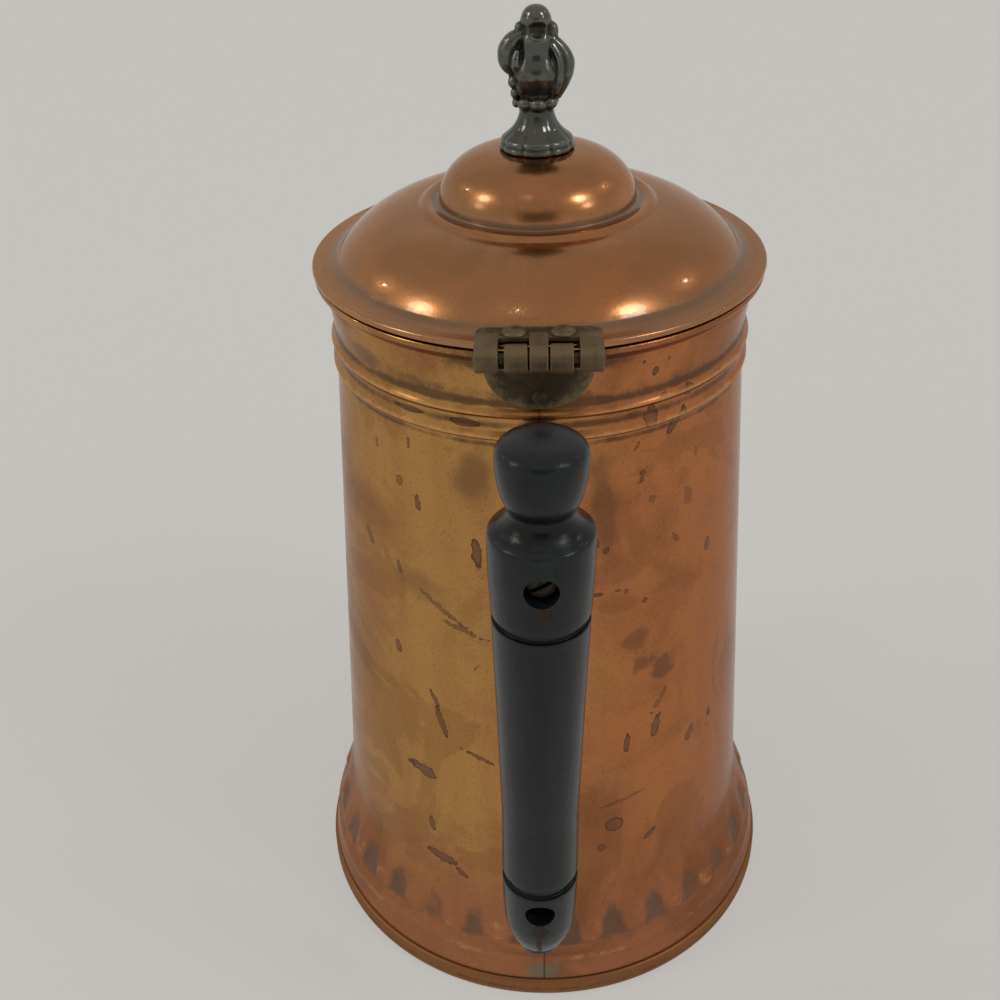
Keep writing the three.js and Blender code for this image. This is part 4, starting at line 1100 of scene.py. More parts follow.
class Finishes:
    """Every finish of the pot, built once."""

    def __init__(self, effects: Effects) -> None:
        """Builds the materials.

        Args:
            effects: The shared shader groups.
        """
        # dirt and ash also colour the wall's painted shade, and bright colours its painted highlights.
        brown = dict(
            foot=paint(172, 109, 78), patina=paint(132, 84, 50), stained=paint(112, 74, 50), dirt=paint(66, 46, 32),
            ash=paint(106, 86, 72), bright=paint(230, 170, 110),
        )
        self.wall = Copper(
            left=paint(194, 146, 84), right=paint(192, 122, 74), stains=WALL_STAINS_AND_REFLECTIONS, seam=True, film=0.42, cover=0.24,
            rough=0.18, patches=0.28, reddening=0.85, rubbed=0.6, coat=0.1, **brown
        ).material("wall copper", effects)
        self.rim = Copper(
            left=paint(118, 78, 56), right=paint(108, 70, 50), film=0.6, cover=0.2, rubbed=0.2, rough=0.34, **brown
        ).material("rim copper", effects)
        self.spout = Copper(
            left=paint(186, 128, 78), right=paint(180, 120, 74), film=0.5, cover=0.3, rough=0.24, **brown
        ).material("spout copper", effects)
        self.lid = Copper(
            left=paint(188, 129, 78), right=paint(184, 118, 67), foot=paint(172, 114, 68), patina=paint(144, 102, 66),
            stained=paint(112, 84, 60), dirt=paint(118, 94, 72), ash=paint(118, 94, 72), bright=paint(214, 160, 112),
            rough=0.17, film=0.6, patches=0.2, cover=0.14, rubbed=0.14, coat=0.7, edge=paint(226, 196, 170),
        ).material("lid copper", effects)
        self.tinned = DullMetal(
            paint(150, 148, 140), paint(120, 112, 98), paint(70, 62, 50), paint(190, 188, 180), rough=0.42, metal=0.8,
            scale=40.0, film=0.6, pits=0.2,
        ).material("tinned inside", effects)
        self.brass = DullMetal(
            paint(84, 71, 52), paint(66, 57, 42), paint(28, 24, 18), paint(138, 120, 92), rough=0.36, metal=0.7,
            scale=150.0, film=0.6, pits=0.3,
        ).material("dull brass", effects)
        self.grime = DullMetal(
            paint(84, 71, 51), paint(64, 54, 39), paint(34, 28, 20), paint(150, 132, 98), rough=0.42, metal=0.85,
            scale=150.0, film=0.6, pits=0.3,
        ).material("grimy brass", effects)
        self.pewter = DullMetal(
            paint(94, 96, 92), paint(76, 77, 73), paint(48, 42, 33), paint(132, 134, 128), rough=0.14, metal=0.85,
            scale=160.0, film=0.5, pits=0.15, filled=0.7, rubbed=0.35,
        ).material("cast grey metal", effects)
        self.iron = DullMetal(
            paint(30, 27, 25), paint(24, 20, 17), paint(13, 11, 9), paint(92, 80, 68), rough=0.5, metal=0.5,
            scale=260.0, film=0.6, pits=0.6,
        ).material("tarnished screw metal", effects)
        self.black = BlackPaint(
            paint(15, 22, 26), paint(50, 62, 66), paint(62, 36, 24), paint(7, 8, 9),
            chips=(
                Stain(0.4, 171.6, 1.7, 1.5, 0, 0.9, 1.0),
                Stain(0.2, 69.0, 2.3, 3.4, 0, 0.7, 1.0),
                Stain(-0.2, 62.6, 0.9, 4.6, 4, 0.6, 1.0),
            ),
        ).material("black paint", effects)


# The pot

# The wall and the collar are cones: two heights of each, and the radius at each height.
CONE = ((34.8, 181.6), (63.2, 54.0))
COLLAR = ((192.8, 202.0), (53.7, 54.9))


def wall_radius(height: Array | float) -> Array | float:
    """Gives the radius of the plain conical wall at a height, in millimetres."""
    (low, high), (wide, narrow) = CONE
    return wide + (height - low) * (narrow - wide) / (high - low)


def collar_radius(height: Array | float) -> Array | float:
    """Gives the radius of the flared collar under the mouth at a height, in millimetres."""
    return np.interp(height, *COLLAR)


def adopt(piece: Piece, body: str, slot: str, *nodes: str) -> None:
    """Rides a piece on a body, hides the nodes that it replaces, and reports it.

    Args:
        piece: The piece.
        body: The body that it moves with.
        slot: Not used.
        *nodes: Nodes that it replaces.
    """
    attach(piece, body)
    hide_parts(*nodes)
    log.info("%s: %d faces on %s", piece.name, len(piece.data.polygons), body)


@dataclass
class Assembly:
    """A sub-assembly of the pot.

    Attributes:
        finishes: The materials that its pieces take.
    """

    finishes: Finishes


@dataclass
class Vessel(Assembly):
    """The tapered copper body with its beads, collar, flared mouth, fluted foot and crimped bottom.

    Attributes:
        sides: Steps around the wall, a whole multiple of the flutes.
        flutes: Number of fingers embossed round the foot.
        flute_depth: How far a finger stands out of the recess beside it.
        flute_low: Height of the lowest point of a finger.
        flute_half: Half the width of a finger at its round end.
        flute_radius: Radius at which the fingers are measured.
        flute_edge: Width of the soft edge of a finger.
        flute_fade: Height at which the fingers start to fade.
        flute_high: Height at which the recesses have faded out.
        bead_heights: Heights of the two beads.
        bead_rise: How far a bead stands out.
        bead_half: Half the width of a bead.
        wall_line: Radius and height of the outside, from the crimp up to the mouth.
        inside_line: Radius and height of the inside, from the mouth down.
    """

    sides: int = 360
    flutes: int = 30
    flute_depth: float = 1.3
    flute_low: float = 17.4
    flute_half: float = 4.7
    flute_radius: float = 67.5
    flute_edge: float = 3.6
    flute_fade: float = 24.0
    flute_high: float = 33.0
    bead_heights: tuple[float, float] = (183.8, 189.8)
    bead_rise: float = 1.0
    bead_half: float = 1.5
    wall_line: tuple[tuple[float, float], ...] = (
        (71.3, 6.6), (71.25, 8.6), (70.35, 12.0), (70.5, 13.0), (70.25, 14.8), (69.5, 16.2), (68.9, 17.4),
        (68.85, 18.6), (68.5, 19.8), (67.1, 23.4), (65.4, 28.2), (63.2, 35.2), (62.6, 44.0), (54.05, 181.4),
        (54.0, 192.2), (53.7, 193.0),
        (54.3, 197.5), (54.95, 201.6), (54.75, 202.8), (55.6, 203.9), (57.45, 205.5), (57.7, 206.2), (57.6, 206.8),
        (57.2, 207.1), (56.7, 206.9),
    )
    inside_line: tuple[tuple[float, float], ...] = (
        (56.6, 206.3), (54.9, 204.2), (53.8, 202.9), (53.8, 201.4), (53.0, 193.0), (53.0, 181.4), (61.8, 44.0),
        (61.8, 35.2),
        (63.9, 28.2), (66.2, 20.5), (68.2, 16.0), (69.4, 12.0), (70.3, 8.6), (70.3, 6.6),
    )

    def finger(self, angle: Array, height: Array) -> tuple[Array, Array]:
        """Gives the embossed fingers of the foot.

        A finger is a strip with a round lower end. Its half width grows upwards until the recesses close. Inside it
        the surface bulges by a soft step of the distance to its edge. Both the bulge and the recess fade upwards.

        Args:
            angle: Angles around the wall.
            height: Heights on the wall.

        Returns:
            The bulge, 0 in a recess and 1 on a finger, and how strongly the fingers show at that height.
        """
        pitch = 2 * math.pi * self.flute_radius / self.flutes
        aside = np.abs((angle * self.flutes / (2 * math.pi) + 0.5) % 1.0 - 0.5) * pitch
        half = self.flute_half
        middle = self.flute_low + half
        grown = half + np.clip((height - middle) / (self.flute_high - middle), 0, 1) ** 2.6 * (pitch / 2 - half + 2.2)
        inside = np.where(height > middle, grown - aside, half - np.hypot(aside, height - middle))
        step = np.clip(inside / self.flute_edge + 0.2, 0, 1)
        low = np.clip((height - self.flute_low) / 2.6, 0, 1)
        high = np.clip((height - self.flute_fade) / (self.flute_high - self.flute_fade), 0, 1)
        return step * step * (3 - 2 * step), low * low * (3 - 2 * low) * (1 - high) ** 1.2

    def relief(self, angle: Array, height: Array) -> Array:
        """Gives what the fingers and the beads add to the radius. A bead is a raised cosine of the height.

        Args:
            angle: Angles around the wall.
            height: Heights on the wall.

        Returns:
            The added radius, in millimetres.
        """
        bulge, shows = self.finger(angle, height)
        beads = sum(
            np.where(np.abs(height - z) < self.bead_half, np.cos((height - z) / self.bead_half * math.pi / 2) ** 2, 0)
            for z in self.bead_heights
        )
        return self.flute_depth * (bulge - 0.62) * shows + self.bead_rise * beads

    def dirt_and_shade(self, angle: Array, height: Array) -> Array:
        """Gives how much the wall is darkened: grey dirt and painted shade in the recesses between the fingers,
        painted shade lines in the cove, beside the beads, on the collar and under the lid's rim, and a painted shadow
        under the hinge.

        Each line is a bell curve of the height, made uneven by slow waves of the angle.

        Args:
            angle: Angles around the wall.
            height: Heights on the wall.

        Returns:
            The darkening, 0 to 1.
        """
        bulge, shows = self.finger(angle, height)
        # Painted shade lines: in the cove under the fingers, beside the beads, on the lower collar and under the lid's
        # rim.
        lines = ((16.4, 1.0, 0.3), (181.6, 0.55, 0.85), (186.8, 0.75, 0.95), (192.3, 0.75, 1.1), (194.6, 1.6, 0.5),
                 (207.0, 0.5, 0.2))
        uneven = 0.75 + 0.25 * np.sin(3 * angle + 1.0) * np.sin(7 * angle + height * 0.3)
        rings = sum(much * np.exp(-0.5 * ((height - z) / wide) ** 2) for z, wide, much in lines)
        # Painted shadow on the collar under the hinge.
        behind = np.exp(-0.5 * (angle / 0.36) ** 4) * np.exp(-0.5 * ((height - 203.5) / 2.4) ** 2)
        # Recesses between the fingers: grey dirt and painted shade.
        between = (1 - bulge) * shows ** 0.8 * (0.78 + 0.2 * np.sin(5 * angle + 0.6) + 0.14 * np.sin(13 * angle))
        return np.clip(between + rings * uneven + behind, 0, 1)

    def wear_and_painted_light(self, angle: Array, height: Array, edges: Array) -> Array:
        """Gives how much the outside is lightened: rubbed edges, and painted highlights on the beads' crests and on the
        lower ends of the fingers.

        The edges of the skirt, below 21 mm, are lightened unevenly round the pot by rubbing and a painted highlight,
        and those of the mouth roll aren't lightened at all.

        Args:
            angle: Angles around the wall.
            height: Heights on the wall.
            edges: How much each row stands out.

        Returns:
            Rubbed edges and painted highlights, 0 to 1.
        """
        # Skirt edges below 21 mm: rubbing and a painted highlight that changes round the pot.
        shown = np.where(height < 21, 0.62 + 0.3 * np.sin(11 * angle - 1), height < 203)
        # Painted highlights along the beads' crests.
        crests = np.exp(-0.5 * ((height - np.array(self.bead_heights)) / 0.42) ** 2).sum(1)
        plain = np.clip(edges * shown + 0.85 * crests[:, None], 0, 1)
        bulge, shows = self.finger(angle, height)
        # Painted highlights on the fingers' lower ends.
        ends = np.exp(-(((height - self.flute_low - 6.5) / 6.5) ** 2)) * (0.75 + 0.25 * np.sin(7 * angle + 2))
        return np.clip(plain + 0.42 * (bulge * shows) ** 2 * ends, 0, 1)

    def wall(self) -> Piece:
        """Builds the wall as one sheet, copper outside and tinned inside.

        Returns:
            The piece.
        """
        outside = self.rows(smooth_line(self.wall_line, 0.35, 0.8, 6.0))
        inside = smooth_line(self.inside_line, 0.5, 5.0, 9.0)
        profile = np.concatenate([outside, inside])
        split = len(outside)
        finish = np.where(np.arange(len(profile)) < split - 1, 0, 1)
        patch = revolve(profile, self.sides, True, None, finish)
        angle = (-math.pi + 2 * math.pi * np.arange(self.sides) / self.sides)[None, :]
        height = outside[:, 1:2]
        added = self.relief(angle, height)
        patch.points[:split, :, 0] += added * np.sin(angle)
        patch.points[:split, :, 1] -= added * np.cos(angle)
        ridge = np.repeat(patch.ridge[:, None], self.sides, 1)
        hollow = np.repeat(patch.hollow[:, None], self.sides, 1)
        # Rubbed edges and painted highlights; then crease darkening below 198 mm with the painted shade of
        # dirt_and_shade.
        ridge[:split] = self.wear_and_painted_light(angle, height, ridge[:split])
        hollow[:split] = np.clip(np.maximum(hollow[:split] * (height < 198), self.dirt_and_shade(angle, height)), 0, 1)
        patch.ridge, patch.hollow = ridge, hollow
        return build("pot_wall", [patch], [self.finishes.wall, self.finishes.tinned])

    @staticmethod
    def rows(line: Array) -> Array:
        """Thins the rows of the plain wall, where nothing happens, and keeps the rest.

        Args:
            line: Points of radius and height.

        Returns:
            The rows that stay.
        """
        plain = (line[:, 1] > 44) & (line[:, 1] < 179)
        keep = ~plain | (np.arange(len(line)) % 7 == 0)
        return line[keep]

    def bottom(self) -> Piece:
        """Builds the bottom plate with its crimped rim as one turned sheet.

        Returns:
            The piece.
        """
        line = [(0, 2.4), (66.6, 2.4), (68.2, 0.05), (68.8, 0.0), (71.3, 0.0), (72.1, 0.5), (72.4, 1.6), (72.3, 3.0),
                (72.35, 5.2), (72.0, 6.1), (71.4, 6.3), (69.6, 6.3), (69.5, 8.6), (68.6, 8.7), (68.5, 4.4),
                (67.5, 3.4), (0, 3.4)]
        profile = solid_line(line, 0.22, 9.0, 9.0)
        finish = np.where((profile[:, 1] > 2.9) & (profile[:, 0] < 69.0), 1, 0)
        patch = revolve(profile, 240, False, None, finish)
        return build("bottom_rim", [patch], [self.finishes.rim, self.finishes.tinned])

    def dress(self) -> None:
        """Builds the pieces of the vessel and hangs them on the body."""
        adopt(self.wall(), "body", "copper", "body_shell")
        adopt(self.bottom(), "body", "copper", "bottom_plate")


@dataclass
class Lid(Assembly):
    """The spun lid with its hem, flange, wide dome, ring and small dome, and the ring under it.

    Attributes:
        seat: Height of the underside of the rim.
        flange: Radius at which the dome rises.
        ring: Radius of the raised ring.
        crown: Radius of the small dome.
        foot: Radius of the flat under the finial.
        top: Height of that flat.
        sides: Steps around.
    """

    seat: float = 208.1
    flange: float = 51.3
    ring: float = 28.4
    crown: float = 24.8
    foot: float = 9.35
    top: float = 235.1
    sides: int = 256

    def dome(self, radius: Array | float) -> Array | float:
        """Height of the wide dome over a radius: the flange plus a rise that falls off as a power of the share."""
        share = np.clip((radius - self.ring) / (self.flange - self.ring), 0, 1)
        return 210.1 + 11.8 * (1 - share ** 2.17) ** 0.88

    def shell(self) -> Piece:
        """Builds the lid as one sheet: outside from the rim to the middle, then back under it.

        Returns:
            The piece.
        """
        seat, top = self.seat, self.top
        wide = np.linspace(self.flange - 0.15, self.ring + 1.9, 40)
        turn = np.linspace(0, math.pi / 2, 30)
        crown = np.stack([self.foot + (self.crown - self.foot) * np.cos(turn), 222.8 + 12.3 * np.sin(turn)], 1)
        rim = [(57.3, seat - 0.6), (57.85, seat - 0.45), (58.0, seat + 0.1), (57.95, seat + 0.8), (57.6, seat + 1.2),
               (56.6, seat + 1.15), (54.0, seat + 1.3), (52.2, seat + 1.7)]
        ring = [(30.0, self.dome(30.0)), (29.3, 222.6), (28.5, 223.0), (27.6, 223.0), (26.6, 222.65), (25.7, 222.5)]
        hem = [(50.6, 209.1), (52.2, 208.6), (55.0, 208.3), (56.4, 208.1), (56.9, 207.55)]
        back = wide[::-1]
        outside = np.concatenate([rim, np.stack([wide, self.dome(wide)], 1), ring, crown, [(1.9, top)]])
        inside = np.concatenate([[(1.9, top - 1.0), (self.foot, top - 1.0)], crown[::-1] - 1.0,
                                 np.stack([back - 0.4, self.dome(back) - 1.0], 1), hem])
        outer, inner = smooth_line(outside, 0.3, 2.0, 5.0), smooth_line(inside, 0.3, 3.0, 9.0)
        profile = np.concatenate([outer, inner])
        finish = np.where(np.arange(len(profile)) < len(outer) - 1, 0, 1)
        patch = revolve(profile, self.sides, True, None, finish)
        return build("lid_shell", [patch], [self.finishes.lid, self.finishes.tinned])

    def collar(self) -> Piece:
        """Builds the plain ring that drops into the mouth."""
        line = [(52.1, 208.0), (52.0, 206.0), (52.0, 200.8), (52.3, 200.5), (52.8, 200.8), (52.8, 206.0), (52.8, 208.0)]
        return build("lid_ring", [revolve(smooth_line(line, 0.12, 3.0, 15.0), 180, True)], [self.finishes.tinned])

    def dress(self) -> None:
        """Builds the lid's pieces and hangs them on the lid body."""
        adopt(self.shell(), "lid", "copper", "lid")
        adopt(self.collar(), "lid", "tinned", "lid_inner_collar")


@dataclass
class Finial(Assembly):
    """The cast scroll finial: a lobed foot, a ring of beads, a shield between a scroll and a folded leaf, and a bud.

    Attributes:
        base: Height of its seat on the lid.
        lobes: Number of lobes round the foot.
        voxel: Size of the grid that fuses the forms, in millimetres.
        scrolls: Each bar's points in X and Z, its depth in Y and its radii along the way.
        lumps: Centre and half sizes of each rounded lump.
        hollow: Centre and half sizes of the hollow under the bud's brim.
    """

    base: float = 235.1
    lobes: int = 8
    voxel: float = 0.25
    scrolls: tuple[tuple[tuple[tuple[float, float], ...], float, tuple[float, ...]], ...] = (
        (((-2.6, 27.2), (-5.4, 25.8), (-7.2, 23.4), (-7.2, 20.4), (-5.8, 18.4), (-4.6, 19.2)), -0.4,
         (1.2, 1.9, 2.1, 2.0, 1.6, 1.2)),
        (((-4.3, 23.6), (-5.0, 21.6), (-4.9, 19.6), (-4.4, 18.2)), -2.3, (0.6, 1.25, 1.3, 0.7)),
        (((2.2, 26.4), (4.6, 24.6), (6.4, 22.4), (7.3, 20.4), (7.0, 17.6), (6.0, 14.6), (4.8, 12.2)), -0.4,
         (1.2, 1.5, 1.8, 2.0, 1.9, 1.5, 1.0)),
        (((3.4, 24.8), (5.0, 22.6), (5.8, 20.0), (5.5, 16.6), (4.5, 13.2)), -2.2, (0.5, 1.0, 1.2, 1.1, 0.6)),
    )
    lumps: tuple[tuple[float, ...], ...] = (
        (-3.9, -0.2, 28.2, 1.15, 1.4, 1.2), (3.9, -0.2, 27.2, 1.4, 1.6, 2.1), (-5.5, -0.8, 15.9, 1.4, 1.7, 1.5),
        (-5.2, -0.8, 13.3, 1.15, 1.5, 1.3), (-4.9, -0.6, 11.0, 1.1, 1.4, 1.2), (-4.6, 0.0, 20.4, 2.6, 2.2, 5.6),
        (4.8, 0.0, 18.8, 2.6, 2.4, 6.0), (-3.6, -1.8, 15.4, 1.3, 1.4, 2.8), (0.0, 0.0, 18.6, 6.9, 2.6, 7.4),
        (3.9, -2.1, 17.2, 1.3, 1.4, 4.6),
    )
    hollow: tuple[float, ...] = (1.0, -4.1, 27.9, 3.8, 1.9, 1.9)

    def foot(self) -> Patch:
        """Turns the foot, with its radius cut back between the lobes by a root of the cosine of the angle.

        Returns:
            The closed surface.
        """
        line = [(0, 0), (9.0, 0), (9.35, 0.3), (9.35, 1.0), (9.0, 1.4), (8.75, 1.75), (9.0, 2.1), (8.9, 2.7),
                (8.2, 3.3), (7.2, 4.0), (6.0, 5.1), (5.0, 6.5), (4.3, 8.2), (4.2, 9.6), (4.4, 12.0), (0, 12.4)]

        def lobed(angle: Array, height: Array) -> Array:
            """Depth of the grooves between the lobes, fading out up the foot."""
            valley = 1 - np.abs(np.cos(angle * self.lobes / 2)) ** 0.3
            return -valley * 0.8 * np.clip(1 - height / 9.0, 0, 1) * (height > 0.05)

        return revolve(solid_line(line, 0.25, 0.5, 8.0), 160, False, lobed)

    def shield(self) -> Patch:
        """Turns the middle as a rounded square: its radius is divided by a fourth-power mean of sine and cosine.

        Returns:
            The closed surface.
        """
        line = [(0, 9.4), (3.0, 9.8), (3.1, 12.0), (3.5, 13.4), (4.3, 14.8), (5.0, 16.0), (5.55, 17.1), (5.55, 18.4),
                (5.25, 19.4), (4.75, 20.4), (4.25, 21.4), (3.95, 22.6), (3.9, 24.2), (3.8, 26.0), (3.0, 27.3),
                (0, 27.8)]

        def squared(angle: Array, height: Array) -> Array:
            """Gives what the corners add to the radius, which fades out at both ends.

            Args:
                angle: Angle of each point.
                height: Height of each point.

            Returns:
                The length to add at each point.
            """
            mean = (np.sin(angle) ** 4 + np.cos(angle) ** 4) ** 0.25
            shows = np.clip((height - 11) / 3, 0, 1) * np.clip((28.4 - height) / 2, 0, 1)
            return (1 / mean - 1) * 0.6 * shows

        return revolve(solid_line(line, 0.4, 0.5, 8.0), 96, False, squared)

    def bud(self) -> Patch:
        """Turns the bud, whose brim stands out over the hollow.

        Returns:
            The closed surface.
        """
        line = [(0, 25.6), (3.0, 25.8), (3.3, 27.0), (3.3, 28.4), (3.75, 29.4), (3.6, 30.3), (3.1, 31.5), (2.3, 32.5),
                (1.3, 33.0), (0, 33.15)]
        return revolve(solid_line(line, 0.35, 0.5, 8.0), 90)

    @staticmethod
    def scroll(points: Line, radii: Sequence[float], depth: float) -> Patch:
        """Sweeps an oval bar along a smooth line.

        Args:
            points: Corners of the line in X and Z.
            radii: Radii along the line.
            depth: The line's Y.

        Returns:
            The closed bar.
        """
        line = smooth_line([(x, depth, z) for x, z in points], 0.9, 0.5, 10.0)
        share = np.linspace(0, 1, len(line))
        thick = np.interp(share, np.linspace(0, 1, len(radii)), radii)
        return sweep(line, thick, 20, (0, 1, 0), 1.35)

    def forms(self) -> list[Patch]:
        """Lists every form of the finial, with heights counted from its seat. What is in front is behind as well.

        Returns:
            The closed surfaces.
        """
        forms = [self.foot(), self.shield(), self.bud()]
        for index in range(7):
            angle = 2 * math.pi * (index + 0.1) / 7
            forms.append(blob((3.6 * math.sin(angle), -3.6 * math.cos(angle), 11.2), (2.1, 2.0, 1.6), 16))
        for points, depth, radii in self.scrolls:
            for side in (1, -1) if abs(depth) > 1 else (1,):
                forms.append(self.scroll(points, radii, depth * side))
        for x, y, z, *size in self.lumps:
            forms.append(blob((x, y, z), size, 18))
        return forms

    def press(self, co: Array) -> Array:
        """Presses the hollow into the front: points in front of an egg's far side move back onto it.

        Args:
            co: Points in millimetres, with heights counted from the seat. They are moved.

        Returns:
            Painted shade for each point, 0 to 1: inside the hollow, stronger the deeper it lies, and in a band at the
                bottom of the shield.
        """
        x, y, z, wide, deep, tall = self.hollow
        reach = 1 - ((co[:, 0] - x) / wide) ** 2 - ((co[:, 2] - z) / tall) ** 2
        far = y + deep * np.sqrt(np.clip(reach, 0, 1))
        inside = (reach > 0) & (co[:, 1] < far) & (co[:, 1] < -1.0)
        co[inside, 1] = far[inside]
        # Painted shade in a band at the bottom of the shield, above the beads, front and back.
        shaded = np.exp(-(((co[:, 2] - 13.9) / 1.7) ** 2)) * (np.abs(co[:, 0]) < 4.6)
        # Inside the hollow the painted shade grows with depth, up to one half.
        return np.where(inside, np.clip(reach * 1.6, 0, 0.5), 0.95 * shaded)

    def cast(self) -> Piece:
        """Fuses the forms as one casting, presses the hollow into it and marks its ridges and hollows.

        The value at a point is the offset of its neighbours' middle along its normal: behind it on a ridge, in
        front of it in a hollow. The hollows also take the painted shade that press gives.

        Returns:
            The piece.
        """
        forms = self.forms()
        seat = np.array([0.0, 0.0, self.base])
        for patch in forms:
            patch.points = patch.points + seat
        piece = build("finial_casting", forms, [self.finishes.pewter])
        fuse = piece.modifiers.new("fuse", "REMESH")
        fuse.mode, fuse.voxel_size = "VOXEL", self.voxel * MM
        settle(piece, 180.0)
        lowered = points_of(piece.data) / MM - seat
        painted_hollow_shade = self.press(lowered)
        move_points(piece.data, (lowered + seat) * MM)
        ease = piece.modifiers.new("ease", "SMOOTH")
        ease.factor, ease.iterations = 0.6, 7
        settle(piece, 180.0)
        mesh = piece.data
        co, normal, edge = points_of(mesh), np.zeros(len(painted_hollow_shade) * 3), np.zeros(len(mesh.edges) * 2, int)
        mesh.vertex_normals.foreach_get("vector", normal)
        mesh.edges.foreach_get("vertices", edge)
        edge = edge.reshape(-1, 2)
        scale = np.linalg.norm(co[edge[:, 0]] - co[edge[:, 1]], axis=1).mean()
        value = ((co - self.around(co, edge)) * normal.reshape(-1, 3)).sum(1) / scale
        for _ in range(3):
            value = 0.5 * value + 0.5 * self.around(value, edge)
        # The hollows take crease darkening and the painted shade from press.
        held = {"ridge": np.clip(value * 20, 0, 1), "hollow": np.clip(np.maximum(-value * 20, painted_hollow_shade), 0, 1)}
        for title, values in held.items():
            layer = mesh.attributes.get(title) or mesh.attributes.new(title, "FLOAT", "POINT")
            layer.data.foreach_set("value", values.astype(np.float32))
        mesh.materials.clear()
        mesh.materials.append(self.finishes.pewter)
        return piece

    @staticmethod
    def around(value: Array, edge: Array) -> Array:
        """Averages a value over each point's neighbours.

        Args:
            value: One or more numbers for each point.
            edge: The two points of each edge.

        Returns:
            The mean of the neighbours for each point.
        """
        total, count = np.zeros_like(value), np.zeros(len(value))
        for a, b in ((0, 1), (1, 0)):
            np.add.at(total, edge[:, a], value[edge[:, b]])
            np.add.at(count, edge[:, a], 1)
        return (total.T / np.maximum(count, 1)).T

    def dress(self) -> None:
        """Builds the casting and hangs it on the lid."""
        adopt(self.cast(), "lid", "pewter", "finial")


